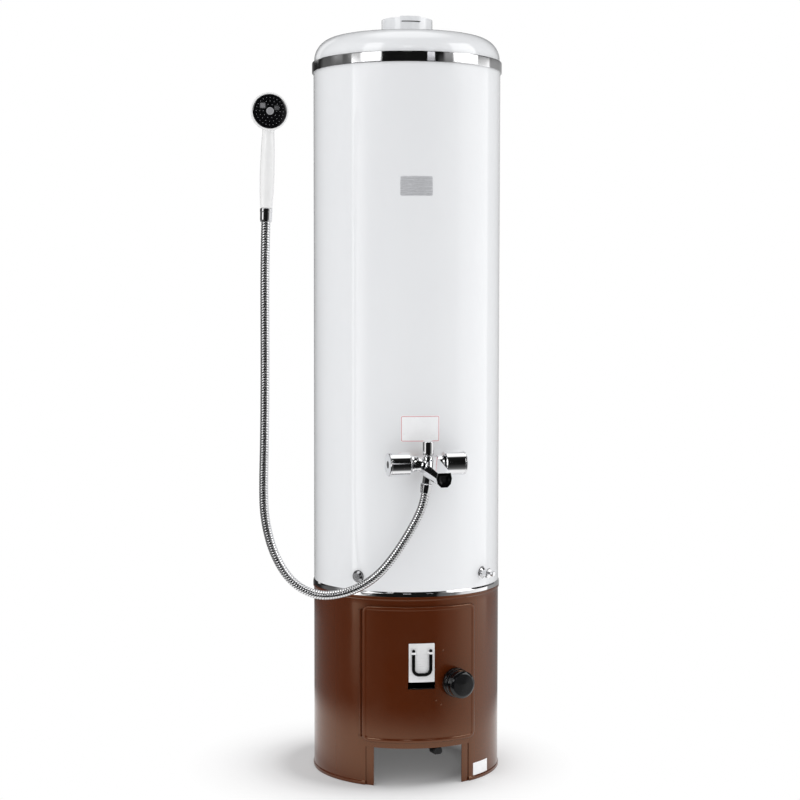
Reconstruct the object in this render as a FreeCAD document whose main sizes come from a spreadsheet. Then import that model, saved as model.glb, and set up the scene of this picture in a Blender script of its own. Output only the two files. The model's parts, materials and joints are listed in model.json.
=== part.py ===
"""Wood-fired bath stove with a mixer tap and a hand shower.

Frame: the origin is the centre of the base ring on the floor, +Z is up, the fire door faces -Y
and +X is to the right of someone who faces the door. Sizes are millimetres and degrees.
An azimuth is counted from the front (-Y) towards +X.
"""
import FreeCAD, Part

import math
import os
import re
from collections import namedtuple

import Sketcher

Vector = FreeCAD.Vector
Bend = namedtuple("Bend", "enter leave centre radius turns_left")

# Driving dimensions: name, value, what it is. A value that starts with = follows others.
SIZES = (
    ("casing_step", 0.2, "casing over the jacket"),
    ("casing_radius", "=jacket_radius + casing_step", "outside of the brown base casing"),
    ("casing_wall", 1.5, "steel sheet of the base casing"),
    ("base_height", 374.5, "floor to the top edge of the base casing"),
    ("casing_bead", 1.8, "how far the rolled edges stand out"),
    ("foot_lip_height", 6.0, "height of the rolled foot edge"),
    ("top_bead_height", 6.0, "height of the rolled top edge"),
    ("arch_height", 76.0, "height of the cut-out between the legs"),
    ("arch_half_angle", 33.1, "half width of that cut-out"),
    ("arch_azimuth", -0.9, "middle of that cut-out"),
    ("leg_frame_wall", 1.5, "sheet of the inner leg frame"),
    ("leg_frame_strip", 5.1, "degrees of leg frame that show beside each leg"),
    ("floor_level", 86.0, "underside of the ash chamber floor"),
    ("floor_wall", 1.5, "sheet of the ash chamber floor"),
    ("shelf_width", 21.0, "inward shelf that carries the floor"),
    ("air_hole_radius", 30.0, "bottom air hole"),
    ("damper_radius", 38.0, "disc that closes the bottom air hole"),
    ("damper_wall", 1.8, "sheet of the damper and its lever"),
    ("damper_pivot_reach", 60.0, "axis of the stove to the damper pin"),
    ("damper_pin_radius", 3.0, "damper pin"),
    ("damper_rest_turn", 15.6, "where the lever stands in the photograph"),
    ("lever_length", 128.0, "damper pin to the end of the lever tip"),
    ("lever_width", 14.0, "flat bar of the lever"),
    ("lever_drop", 16.5, "step that takes the lever under the casing edge"),
    ("tip_width", 19.0, "black lever tip, across"),
    ("tip_height", 13.5, "black lever tip, up and down"),
    ("tip_length", 20.0, "black lever tip, along the lever"),
    ("running_clearance", 0.05, "radial clearance of a shaft that turns or slides"),
    ("gap", 0.3, "clearance between pieces that move past each other"),
    ("seat_gap", 0.1, "clearance of a piece that is seated in another"),
    ("runner_height", 13.0, "rails that carry the ash pan"),
    ("runner_width", 10.0, "rails that carry the ash pan"),
    ("runner_spacing", 120.0, "distance between the two rails"),
    ("pan_width", 176.0, "ash pan, across"),
    ("pan_length", 268.0, "ash pan, front to back"),
    ("pan_height", 70.0, "ash pan, up and down"),
    ("pan_wall", 1.2, "sheet of the ash pan"),
    ("pan_front", 150.0, "axis of the stove to the pan's front"),
    ("grate_level", 219.0, "underside of the grate"),
    ("frame_plate", 5.0, "plate that carries the grate and bricks"),
    ("frame_ledge", 22.0, "ledge that the grate lies on"),
    ("frame_hole_radius", "=grate_radius - frame_ledge", "hole in that plate"),
    ("frame_flange", 15.0, "turned-down edge of that plate"),
    ("front_ledge", 1.0, "edge of the grate to the plate's straight front"),
    ("frame_front", "=grate_radius + front_ledge", "axis of the stove to the plate's straight front"),
    ("grate_clearance", 5.0, "bricks to the grate"),
    ("grate_radius", "=brick_inner_radius - grate_clearance", "round cast grate"),
    ("grate_thickness", 10.0, "round cast grate"),
    ("slot_width", 9.0, "slots of the grate"),
    ("slot_pitch", 20.0, "distance between slots of the grate"),
    ("brick_depth", 35.0, "thickness of the bricks"),
    ("brick_inner_radius", "=brick_outer_radius - brick_depth", "inside of the firebrick lining"),
    ("brick_clearance", 8.2, "outside of the casing to the bricks"),
    ("brick_outer_radius", "=casing_radius - brick_clearance", "outside of the firebrick lining"),
    ("brick_gap_angle", 40.0, "half width of the gap in the lining behind the door"),
    ("brick_joint", 0.5, "degrees between two bricks"),
    ("top_plate", 3.0, "plate that closes the base and carries the tank"),
    ("plate_ledge", 30.0, "ledge that the tank stands on"),
    ("top_plate_hole", "=tank_radius - plate_ledge", "hole in that plate over the fire"),
    ("top_plate_drop", 2.5, "top edge of the casing to the plate"),
    ("insulation_depth", 23.0, "outside of the jacket to the tank"),
    ("tank_radius", "=jacket_radius - insulation_depth", "outside of the water tank"),
    ("tank_wall_thickness", 2.5, "steel of the water tank"),
    ("tank_height", 1013.0, "height of the tank wall with its skirt"),
    ("crown_edge_height", 22.0, "skirt under the fire crown"),
    ("crown_rise", 66.0, "rise of the fire crown to the flue"),
    ("head_rise", 38.0, "rise of the tank head to the flue"),
    ("flue_radius", 49.5, "outside of the flue tube"),
    ("flue_wall", 2.0, "wall of the flue tube"),
    ("pipe_radius", 10.5, "water pipes inside the tank"),
    ("pipe_wall", 2.0, "wall of the water pipes"),
    ("pipe_bend", 30.0, "centre line radius of their bends"),
    ("pipe_depth", 62.0, "how far the pipes reach in from the jacket before they bend"),
    ("cold_pipe_drop", 110.0, "mixer height to the mouth of the cold pipe"),
    ("hot_pipe_rise", 700.0, "mixer height to the mouth of the hot pipe"),
    ("jacket_radius", 188.0, "outside of the white jacket"),
    ("jacket_wall", 1.2, "enamelled sheet of the jacket"),
    ("jacket_height", 1038.5, "height of the white jacket"),
    ("lower_trim_height", 9.5, "bright ring at the foot of the jacket"),
    ("lower_trim_width", 2.0, "how far that ring stands out"),
    ("band_height", 20.0, "bright band at the top of the jacket"),
    ("band_step", 2.9, "band over the jacket"),
    ("band_radius", "=jacket_radius + band_step", "outside of that band"),
    ("band_overlap", 8.5, "how much of the band lies on the jacket"),
    ("cover_height", 58.0, "jacket top to the rim of the cover's flat"),
    ("cover_skirt", 13.0, "how far the cover reaches into the jacket"),
    ("cover_shoulder", 42.0, "rounding of the cover"),
    ("cover_crown", 3.0, "rise of the cover's flat to the flue"),
    ("spigot_radius", 51.0, "outside of the flue collar"),
    ("spigot_wall", 1.2, "sheet of the flue collar"),
    ("spigot_height", 37.0, "height of the flue collar over the cover"),
    ("spigot_depth", 13.0, "how far the collar reaches under the cover"),
    ("strap_half_angle", 23.7, "half width of the pressed strap on the collar"),
    ("strap_height", 9.5, "height of that strap"),
    ("strap_reach", 2.8, "how far the strap stands out"),
    ("name_plate_width", 63.0, "bare plate on the jacket"),
    ("name_plate_height", 37.0, "bare plate on the jacket"),
    ("name_plate_rise", 529.5, "mixer tap to the bare plate"),
    ("name_plate_level", "=mixer_level + name_plate_rise", "centre of that plate over the floor"),
    ("name_plate_azimuth", -3.35, "centre of that plate"),
    ("plate_thickness", 0.8, "bare plate"),
    ("plate_corner", 3.0, "corner radius of the bare plate"),
    ("film_gap", 0.05, "glue under the plate and stickers"),
    ("label_thickness", 0.3, "bare stickers"),
    ("tap_label_width", 77.0, "bare sticker over the mixer"),
    ("tap_label_height", 51.0, "bare sticker over the mixer"),
    ("tap_label_rise", 63.0, "mixer tap to the sticker over it"),
    ("tap_label_azimuth", -0.9, "centre of that sticker"),
    ("tap_label_level", "=mixer_level + tap_label_rise", "centre of that sticker over the floor"),
    ("base_label_width", 48.0, "bare sticker on the right leg"),
    ("base_label_height", 25.0, "bare sticker on the right leg"),
    ("base_label_level", 20.5, "centre of that sticker over the floor"),
    ("base_label_azimuth", 43.3, "centre of that sticker"),
    ("fitting_rise", 36.5, "base to the plug and drain valve"),
    ("fitting_level", "=base_height + fitting_rise", "plug and drain valve over the floor"),
    ("plug_azimuth", -39.0, "where the plug sits"),
    ("valve_azimuth", 43.5, "where the drain valve sits"),
    ("plug_radius", 11.5, "plug cap"),
    ("plug_face_radius", 7.2, "flat end of the plug cap"),
    ("plug_reach", 7.8, "how far the plug cap stands out"),
    ("thread_radius", 10.4, "shank of plug and valve"),
    ("socket_radius", 14.0, "threaded sockets on the tank"),
    ("socket_length", 24.0, "threaded sockets on the tank"),
    ("gasket_thickness", 1.2, "ring under the plug cap"),
    ("rosette_radius", 12.5, "cover ring of the drain valve"),
    ("rosette_thickness", 2.5, "cover ring of the drain valve"),
    ("valve_body_radius", 6.5, "neck of the drain valve"),
    ("valve_nut_radius", 10.0, "packing nut of the drain valve"),
    ("valve_nut_reach", 19.0, "jacket to the front of that nut"),
    ("valve_nut_length", 6.0, "packing nut of the drain valve"),
    ("valve_knob_radius", 5.3, "knob of the drain valve"),
    ("valve_knob_length", 7.0, "knob of the drain valve"),
    ("valve_knob_gap", 4.0, "bare spindle between nut and knob"),
    ("valve_spindle_radius", 2.5, "spindle of the drain valve"),
    ("mixer_rise", 264.5, "base to the mixer tap"),
    ("mixer_level", "=base_height + mixer_rise", "axis of the mixer tap over the floor"),
    ("mixer_reach", 50.0, "jacket to the axis of the mixer tap"),
    ("mixer_turn", 7.5, "how far the mixer is turned to the right"),
    ("mixer_bar", 30.0, "across the flats of the mixer's bar"),
    ("mixer_half_length", 23.0, "half length of the mixer's bar"),
    ("union_spacing", 26.0, "distance between the two water connections"),
    ("union_nut_radius", 13.2, "nuts of the water connections, across corners"),
    ("union_nut_length", 14.0, "nuts of the water connections"),
    ("union_neck_radius", 9.5, "necks behind the mixer's bar"),
    ("union_neck_length", 4.0, "necks behind the mixer's bar"),
    ("spout_length", 112.0, "mixer axis to the mouth of the spout"),
    ("spout_start", 4.0, "where the spout leaves the bar"),
    ("spout_root_width", 34.0, "spout at the bar"),
    ("spout_root_height", 27.0, "spout at the bar"),
    ("spout_tip_width", 31.0, "spout at its mouth"),
    ("spout_tip_height", 28.0, "spout at its mouth"),
    ("spout_drop", 20.5, "how far the mouth lies under the mixer axis"),
    ("mouth_radius", 9.5, "hole at the spout's mouth"),
    ("mouth_depth", 12.0, "hole at the spout's mouth"),
    ("headwork_radius", 10.0, "valve inserts of the mixer"),
    ("headwork_flange", 13.5, "flange of the valve inserts"),
    ("headwork_length", 22.0, "valve inserts of the mixer"),
    ("spindle_radius", 3.0, "spindles of mixer and diverter"),
    ("tap_knob_radius", 23.0, "hot and cold knobs"),
    ("tap_knob_length", 42.0, "hot and cold knobs"),
    ("tap_knob_bevel", 4.0, "bevel of the knobs' ends"),
    ("tap_knob_start", 34.5, "mixer centre to the inner end of a knob"),
    ("tap_knob_bore", 15.0, "hollow inside a knob"),
    ("tap_knob_cap", 18.0, "solid end of a knob"),
    ("diverter_front", 12.0, "mixer axis to the diverter, forwards"),
    ("diverter_neck", 7.2, "radius of the diverter's neck"),
    ("diverter_level", 17.5, "mixer axis to the underside of the diverter knob"),
    ("diverter_radius", 11.3, "diverter knob"),
    ("diverter_height", 27.0, "diverter knob"),
    ("diverter_stroke", 8.0, "travel of the diverter knob"),
    ("outlet_tilt", 8.0, "lean of the hose outlet"),
    ("outlet_shift", 6.0, "hose outlet beside the mixer centre"),
    ("outlet_radius", 8.6, "hose outlet, across corners"),
    ("outlet_boss", 19.0, "mixer axis to the hose outlet"),
    ("outlet_nut_start", 38.0, "mixer axis to the hose nut"),
    ("hose_nut_length", 19.0, "hose nut at the mixer"),
    ("hose_nut_radius", 12.4, "hose nut at the mixer, across corners at its top"),
    ("hose_radius", 8.1, "outside of the shower hose, over its ribs"),
    ("hose_groove", 0.9, "depth between the ribs of the hose"),
    ("hose_bore", 5.0, "bore of the hose"),
    ("hose_rib_pitch", 8.5, "distance between ribs of the hose"),
    ("hose_plain_end", 16.5, "plain length at each end of the hose"),
    ("hose_turn", 9.2, "plane of the hose, turned from the stove's front"),
    ("upper_nut_length", 25.5, "hose nut at the hand shower"),
    ("upper_nut_radius", 11.8, "hose nut at the hand shower"),
    ("hand_lean", 1.8, "lean of the hand shower to the right"),
    ("hand_tail_radius", 7.6, "threaded tail of the hand shower"),
    ("hand_tail_length", 11.0, "threaded tail of the hand shower"),
    ("handle_length", 146.0, "handle of the hand shower"),
    ("handle_end_radius", 11.4, "lower end of the handle"),
    ("handle_grip_radius", 13.9, "thickest place of the handle"),
    ("handle_neck_radius", 11.3, "handle under the head"),
    ("head_radius", 35.6, "head of the hand shower"),
    ("head_turn", 10.0, "degrees that the hand shower looks to the viewer's right"),
    ("head_forward", 7.0, "handle axis to the middle of the head"),
    ("head_depth", 26.0, "head of the hand shower, front to back"),
    ("head_height", 206.0, "end of the hose to the centre of the head"),
    ("face_radius", 31.8, "black face of the hand shower"),
    ("face_thickness", 3.0, "black face of the hand shower"),
    ("screw_radius", 7.0, "ring in the middle of the face"),
    ("opening_half_angle", 31.5, "half width of the fire door's opening"),
    ("opening_bottom", 100.0, "lower edge of that opening"),
    ("opening_margin", 32.5, "top of the base to the opening"),
    ("opening_top", "=base_height - opening_margin", "upper edge of that opening"),
    ("door_step", 4.8, "door over the casing"),
    ("door_radius", "=casing_radius + door_step", "outside of the fire door"),
    ("door_wall", 1.5, "sheet of the fire door"),
    ("door_half_width", 112.6, "half width of the door"),
    ("door_bottom", 87.5, "lower edge of the door"),
    ("door_margin", 19.5, "top of the base to the door"),
    ("door_top", "=base_height - door_margin", "upper edge of the door"),
    ("door_corner", 12.0, "corner radius of the door"),
    ("door_border", 6.0, "raised border of the door"),
    ("door_recess", 0.7, "depth of the panel inside the border"),
    ("door_edge_round", 2.0, "rounding of the door's outer edge"),
    ("hinge_offset", 3.0, "door edge to the hinge axis"),
    ("hinge_radius", 3.0, "barrel of the hinge"),
    ("hinge_pin_radius", 1.5, "pin of the hinge"),
    ("hinge_inset", 11.0, "top and bottom of the door to the barrel's ends"),
    ("ear_thickness", 3.0, "hinge ears on the casing"),
    ("liner_depth", 13.0, "front of the door to its inner plate"),
    ("liner_radius", "=door_radius - liner_depth", "inside of the door's inner plate"),
    ("liner_wall", 1.2, "sheet of the door's inner plate"),
    ("liner_half_angle", 29.0, "half width of the door's inner plate"),
    ("liner_margin", 5.0, "opening edge to the door's inner plate"),
    ("knob_azimuth", 19.4, "where the door knob sits"),
    ("knob_level", 205.5, "door knob over the floor"),
    ("knob_radius", 28.7, "rear ring of the door knob"),
    ("knob_face_radius", 26.7, "front of the door knob"),
    ("knob_length", 41.0, "door knob, along its axis"),
    ("knob_neck_radius", 14.0, "neck of the door knob"),
    ("knob_start", 1.3, "door to the back of the knob"),
    ("latch_spindle_radius", 4.0, "spindle of the door latch"),
    ("bush_radius", 7.0, "bush of the latch spindle"),
    ("tongue_depth", 25.5, "front of the door to the latch tongue"),
    ("tongue_distance", "=door_radius - tongue_depth", "stove axis to the inner face of the latch tongue"),
    ("tongue_thickness", 4.0, "latch tongue"),
    ("tongue_width", 16.0, "latch tongue"),
    ("tongue_length", 46.0, "latch tongue"),
    ("keeper_depth", 8.2, "outside of the casing to the latch keeper"),
    ("keeper_radius", "=casing_radius - keeper_depth", "inside of the latch keeper"),
    ("keeper_width", 4.0, "degrees of the latch keeper"),
    ("keeper_height", 24.0, "latch keeper"),
    ("slide_width", 51.0, "bright air slide"),
    ("slide_height", 76.0, "bright air slide"),
    ("slide_bottom", 208.0, "lower edge of the air slide at rest"),
    ("slide_wall", 1.2, "sheet of the air slide"),
    ("window_width", 47.0, "air window in the door"),
    ("window_bottom", 193.5, "lower edge of the air window"),
    ("window_height", 68.5, "air window in the door"),
    ("slot_opening_width", 54.0, "wider foot of that window, which shows under the slide"),
    ("slot_opening_height", 14.5, "wider foot of that window, which shows under the slide"),
    ("slide_keeper_width", 62.0, "strip that holds the slide from behind"),
    ("slide_keeper_height", 10.0, "strip that holds the slide from behind"),
    ("slide_keeper_level", 232.0, "centre of that strip at rest"),
    ("slide_keeper_wall", 0.9, "strip that holds the slide from behind"),
    ("slide_pin_radius", 2.5, "studs between slide and strip"),
    ("slide_pin_spacing", 26.0, "distance between those studs"),
    ("bail_width", 34.0, "black handle of the slide, between the centre lines of its arms"),
    ("bail_height", 50.0, "black handle of the slide"),
    ("bail_radius", 3.0, "wire of that handle"),
    ("bail_corner", 12.0, "bend of that handle"),
    ("bail_bottom", 223.5, "centre line of the handle's lower bend at rest"),
    ("clip_level", 266.0, "bright clips round the handle's arms"),
    ("clip_height", 4.0, "bright clips round the handle's arms"),
    ("clip_wall", 1.0, "bright clips round the handle's arms"),
    ("rivet_radius", 2.0, "rivets that show on the door"),
    ("rivet_head", 0.6, "height of their heads"),
)

# Azimuth and level of each rivet that shows on the door
DOOR_RIVETS = ((12.7, 268.0), (8.6, 171.0), (11.6, 162.0))

BRICK_COUNT = 6
GRATE_SLOTS = 11

# Route of the shower hose in its own upright plane, from the nut at the mixer to the hand
# shower: how far to the right and how far up each point lies, counted from the nut's mouth.
# The ends and the points next to them follow from the two nuts.
HOSE_ROUTE = (
    (-21.8, -62.0),
    (-55.2, -116.8),
    (-92.1, -161.5),
    (-143.4, -191.5),
    (-204.1, -200.0),
    (-254.8, -173.8),
    (-289.6, -118.0),
    (-306.3, -52.1),
    (-308.6, 7.5),
    (-305.5, 117.5),
    (-304.4, 267.5),
    (-304.7, 432.5),
)
HOSE_FIRST_RUN = 22.0
HOSE_LAST_RUN = 82.0

SHEET_NAME = "Sizes"
MATHS = {"sin", "cos", "tan", "asin", "acos", "atan", "sqrt"}
WORD = re.compile(r"[a-z]\w*")

document = FreeCAD.newDocument("bath_stove")
sheet = document.addObject("Spreadsheet::Sheet", SHEET_NAME)
for row, (alias, value, note) in enumerate(SIZES, start=1):
    sheet.set(f"A{row}", alias)
    sheet.set(f"C{row}", note)
    sheet.setAlias(f"B{row}", alias)
for row, (alias, value, note) in enumerate(SIZES, start=1):
    sheet.set(f"B{row}", str(value))
gauge = document.addObject("App::FeaturePython", "Gauge")
gauge.addProperty("App::PropertyFloat", "Reading")
document.recompute()

sub_parts = {}


def bound(text):
    """The expression with each size name pointed at the sheet."""
    return WORD.sub(lambda word: word[0] if word[0] in MATHS else f"{SHEET_NAME}.{word[0]}", str(text))


def number(text):
    """The value of an expression of size names, for shapes made by Part's own functions."""
    gauge.setExpression("Reading", bound(text))
    gauge.recompute()
    return gauge.Reading


def keep(item, label):
    """Mark an object as the sub-part with this label."""
    item.Label = label
    sub_parts[label] = item
    return item


def place(item, x="0", y="0", z="0", turn="0"):
    """Bind an object's place, and its turn about the vertical, to the sheet."""
    item.Placement = FreeCAD.Placement(Vector(), FreeCAD.Rotation(Vector(0, 0, 1), 1))
    item.setExpression("Placement.Base.x", bound(x))
    item.setExpression("Placement.Base.y", bound(y))
    item.setExpression("Placement.Base.z", bound(z))
    item.setExpression("Placement.Rotation.Angle", bound(turn))
    return item


def sketch_outline(body, name, plane, points, offset=None):
    """A closed sketch whose corners are bound to expressions.

    A point is a corner's two coordinates, and a third expression rounds that corner.
    """
    sketch = body.newObject("Sketcher::SketchObject", name)
    role = next(f for f in body.Origin.OriginFeatures if f.Role == plane)
    sketch.AttachmentSupport = (role, [""])
    sketch.MapMode = "FlatFace"
    if offset is not None:
        sketch.setExpression("AttachmentOffset.Base.z", bound(offset))
    corners = [Vector(number(point[0]), number(point[1]), 0) for point in points]
    bends = {
        index: corner_arc(corners, index, number(point[2]))
        for index, point in enumerate(points)
        if len(point) == 3
    }
    for index, corner in enumerate(corners):
        following = (index + 1) % len(corners)
        start = bends[index].leave if index in bends else corner
        end = bends[following].enter if following in bends else corners[following]
        sketch.addGeometry(Part.LineSegment(start, end), False)
    for index, point in enumerate(points):
        before = (index - 1) % len(corners)
        if index in bends:
            held = round_corner(sketch, bends[index], corners[index], before, index, point[2])
        else:
            sketch.addConstraint(Sketcher.Constraint("Coincident", before, 2, index, 1))
            held = index
        spot = corners[index]
        for kind, text, start in (("DistanceX", point[0], spot.x), ("DistanceY", point[1], spot.y)):
            place_of = sketch.addConstraint(Sketcher.Constraint(kind, -1, 1, held, 1, start))
            sketch.setExpression(f"Constraints[{place_of}]", bound(text))
    return sketch


def corner_arc(corners, index, radius):
    """Where an arc of this radius touches the two sides of a corner."""
    corner = corners[index]
    way_in = (corner - corners[index - 1]).normalize()
    way_out = (corners[(index + 1) % len(corners)] - corner).normalize()
    half_turn = way_in.getAngle(way_out) / 2
    trim = radius * math.tan(half_turn)
    centre = corner + (way_out - way_in).normalize() * (radius / math.cos(half_turn))
    turns_left = way_in.cross(way_out).z > 0
    return Bend(corner - way_in * trim, corner + way_out * trim, centre, radius, turns_left)


def round_corner(sketch, bend, corner, before, after, radius):
    """Add the arc of a rounded corner, and the point that holds the corner itself."""
    first, second = (bend.enter, bend.leave) if bend.turns_left else (bend.leave, bend.enter)
    angles = [math.atan2(end.y - bend.centre.y, end.x - bend.centre.x) for end in (first, second)]
    circle = Part.Circle(bend.centre, Vector(0, 0, 1), bend.radius)
    arc = sketch.addGeometry(Part.ArcOfCircle(circle, *angles), False)
    point = sketch.addGeometry(Part.Point(corner), True)
    enter, leave = (1, 2) if bend.turns_left else (2, 1)
    sketch.addConstraint(Sketcher.Constraint("Tangent", before, 2, arc, enter))
    sketch.addConstraint(Sketcher.Constraint("Tangent", after, 1, arc, leave))
    sketch.addConstraint(Sketcher.Constraint("PointOnObject", point, 1, before))
    sketch.addConstraint(Sketcher.Constraint("PointOnObject", point, 1, after))
    size = sketch.addConstraint(Sketcher.Constraint("Radius", arc, bend.radius))
    sketch.setExpression(f"Constraints[{size}]", bound(radius))
    return point


def revolved(name, points, plane="XZ_Plane", axis="V_Axis", sweep=None):
    """A body turned from an outline, in full or evenly about its plane."""
    body = document.addObject("PartDesign::Body", name)
    sketch = sketch_outline(body, f"{name}_outline", plane, points)
    turned = body.newObject("PartDesign::Revolution", f"{name}_turned")
    turned.Profile = sketch
    turned.ReferenceAxis = (sketch, [axis])
    if sweep is None:
        turned.Angle = 360
    else:
        turned.Midplane = True
        turned.setExpression("Angle", bound(sweep))
    body.Tip = turned
    body.recompute(True)
    return body


def ring(name, inner, outer, low, high):
    """A plain ring about the stove's axis."""
    return revolved(name, ((inner, low), (outer, low), (outer, high), (inner, high)))


def sector(name, inner, outer, low, high, middle, span):
    """A curved plate: part of a ring, centred on an azimuth."""
    points = ((inner, low), (outer, low), (outer, high), (inner, high))
    return place(revolved(name, points, sweep=span), turn=f"({middle}) - 90")


def padded(name, points, length, plane, both=True, offset=None):
    """A body pushed out from an outline."""
    body = document.addObject("PartDesign::Body", name)
    sketch = sketch_outline(body, f"{name}_outline", plane, points, offset)
    pad = body.newObject("PartDesign::Pad", f"{name}_pad")
    pad.Profile = sketch
    pad.setExpression("Length", bound(length))
    if both:
        pad.SideType = "Symmetric"
    body.Tip = pad
    body.recompute(True)
    return body


def rounded(body, radius, chosen):
    """Round the edges of a body that the test chooses."""
    base = body.Tip
    edges = [f"Edge{n}" for n, edge in enumerate(base.Shape.Edges, start=1) if chosen(edge)]
    fillet = body.newObject("PartDesign::Fillet", f"{body.Name}_round{len(body.Group)}")
    fillet.Base = (base, edges)
    fillet.setExpression("Radius", bound(radius))
    body.Tip = fillet
    body.recompute(True)
    return body


def block(name, length, width, height):
    """A box centred on its own Z axis, standing on its own XY plane."""
    return padded(name, corners_of(length, width), height, "XY_Plane", both=False)


def corners_of(length, width):
    """The corners of a centred rectangle."""
    return (
        (f"-({length}) / 2", f"-({width}) / 2"),
        (f"({length}) / 2", f"-({width}) / 2"),
        (f"({length}) / 2", f"({width}) / 2"),
        (f"-({length}) / 2", f"({width}) / 2"),
    )


def cylinder(name, radius, height, x="0", y="0", z="0", turn="0"):
    """An upright cylinder."""
    item = document.addObject("Part::Cylinder", name)
    item.setExpression("Radius", bound(radius))
    item.setExpression("Height", bound(height))
    return place(item, x, y, z, turn)


def cut(name, base, *tools):
    """The base less the tools."""
    item = document.addObject("Part::Cut", name)
    item.Base = base
    item.Tool = tools[0] if len(tools) == 1 else joined(f"{name}_tools", *tools)
    return item


def joined(name, *pieces):
    """One solid from pieces that meet."""
    item = document.addObject("Part::MultiFuse", name)
    item.Shapes = list(pieces)
    item.Refine = True
    return item


def shared(name, base, tool):
    """What two solids have in common."""
    item = document.addObject("Part::Common", name)
    item.Base = base
    item.Tool = tool
    return item


def group(name, *pieces):
    """Separate solids that share one sub-part."""
    item = document.addObject("Part::Compound", name)
    item.Links = list(pieces)
    return item


def radial(name, points, azimuth, level):
    """A fitting turned about a level line out from the stove's axis.

    The points are radius and distance from the stove's axis.
    """
    return place(revolved(name, points, plane="XY_Plane"), z=level, turn=f"({azimuth}) + 180")


CASING_INSIDE = "(casing_radius - casing_wall)"
FLOOR_TOP = "(floor_level + floor_wall)"
TOP_PLATE_TOP = "(base_height - top_plate_drop)"
TANK_INSIDE = "(tank_radius - tank_wall_thickness)"
TANK_TOP = f"({TOP_PLATE_TOP} + tank_height)"
JACKET_INSIDE = "(jacket_radius - jacket_wall)"
JACKET_TOP = "(base_height + jacket_height)"
BAND_BOTTOM = f"({JACKET_TOP} - band_overlap)"
COVER_RADIUS = f"({JACKET_INSIDE} - gap)"
COVER_RIM = f"({JACKET_TOP} + cover_height)"
COVER_TOP = f"({COVER_RIM} + cover_crown)"
SPIGOT_TOP = f"({COVER_TOP} + spigot_height)"
MIXER_DISTANCE = "(jacket_radius + mixer_reach)"
PANEL_RADIUS = "(door_radius - door_recess)"
HINGE_X = "(door_half_width + hinge_offset)"
HINGE_Y = "(sqrt((door_radius - hinge_radius / 2)^2 - (door_half_width + hinge_offset)^2))"
SPINDLE_BORE = "(latch_spindle_radius + running_clearance)"
NECK_END = "(mixer_bar / 2 + union_neck_length)"


def degrees_across(width, radius):
    """The angle that a width spans on a radius."""
    return f"(2 * asin(({width}) / 2 / ({radius})))"


def around(name, thickness, width, height, level, azimuth, radius="jacket_radius"):
    """A thin plate or sticker that is glued to the jacket or casing."""
    low = f"({level}) - ({height}) / 2"
    high = f"({level}) + ({height}) / 2"
    inner = f"({radius} + film_gap)"
    return sector(name, inner, f"{inner} + {thickness}", low, high, azimuth, degrees_across(width, inner))


def base_casing():
    """Brown casing with rolled edges, the door opening and the arch between the legs."""
    points = (
        (CASING_INSIDE, "0"),
        ("casing_radius + casing_bead", "0"),
        ("casing_radius + casing_bead", "foot_lip_height"),
        ("casing_radius", "foot_lip_height + casing_bead"),
        ("casing_radius", "base_height - top_bead_height - casing_bead"),
        ("casing_radius + casing_bead", "base_height - top_bead_height"),
        ("casing_radius + casing_bead", "base_height"),
        (CASING_INSIDE, "base_height"),
    )
    skin = revolved("casing_skin", points)
    near = f"{CASING_INSIDE} - 5"
    far = "casing_radius + 5"
    span = "2 * opening_half_angle"
    doorway = sector("door_opening", near, far, "opening_bottom", "opening_top", "0", span)
    arch = sector("leg_arch", near, far, "-1", "arch_height", "arch_azimuth", "2 * arch_half_angle")
    return cut("base_casing", skin, doorway, arch)


def leg_frame():
    """Inner ring that stiffens the legs and carries the ash chamber floor."""
    outer = f"({CASING_INSIDE} - seat_gap)"
    inner = f"({outer} - leg_frame_wall)"
    shelf = f"({outer} - shelf_width)"
    points = (
        (inner, "0"),
        (outer, "0"),
        (outer, "floor_level"),
        (shelf, "floor_level"),
        (shelf, "floor_level - leg_frame_wall"),
        (inner, "floor_level - leg_frame_wall"),
    )
    whole = revolved("leg_frame_ring", points)
    half = "(arch_half_angle - leg_frame_strip)"
    near = f"{inner} - 5"
    far = f"{outer} + 5"
    arch = sector("leg_frame_arch", near, far, "-1", "arch_height", "arch_azimuth", f"2 * {half}")
    return cut("leg_frame", whole, arch)


def base_floor():
    """Floor of the ash chamber with the bottom air hole and the hole for the damper pin."""
    disc = cylinder("floor_disc", f"{CASING_INSIDE} - gap", "floor_wall", z="floor_level")
    air_hole = cylinder("air_hole", "air_hole_radius", "4 * floor_wall", z="floor_level - floor_wall")
    pin_hole = cylinder(
        "damper_pin_hole",
        "damper_pin_radius",
        "4 * floor_wall",
        y="-damper_pivot_reach",
        z="floor_level - floor_wall",
    )
    return cut("base_floor", disc, air_hole, pin_hole)


def damper_pin():
    """Riveted pin that the damper turns on."""
    low = "(floor_level - 2 * gap - damper_wall)"
    points = (
        ("0", f"{low} - 2"),
        ("2 * damper_pin_radius", f"{low} - 2"),
        ("2 * damper_pin_radius", low),
        ("damper_pin_radius", low),
        ("damper_pin_radius", FLOOR_TOP),
        ("1.6 * damper_pin_radius", FLOOR_TOP),
        ("damper_pin_radius", f"{FLOOR_TOP} + 1.5"),
        ("0", f"{FLOOR_TOP} + 1.5"),
    )
    return place(revolved("damper_pin", points), y="-damper_pivot_reach")


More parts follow.
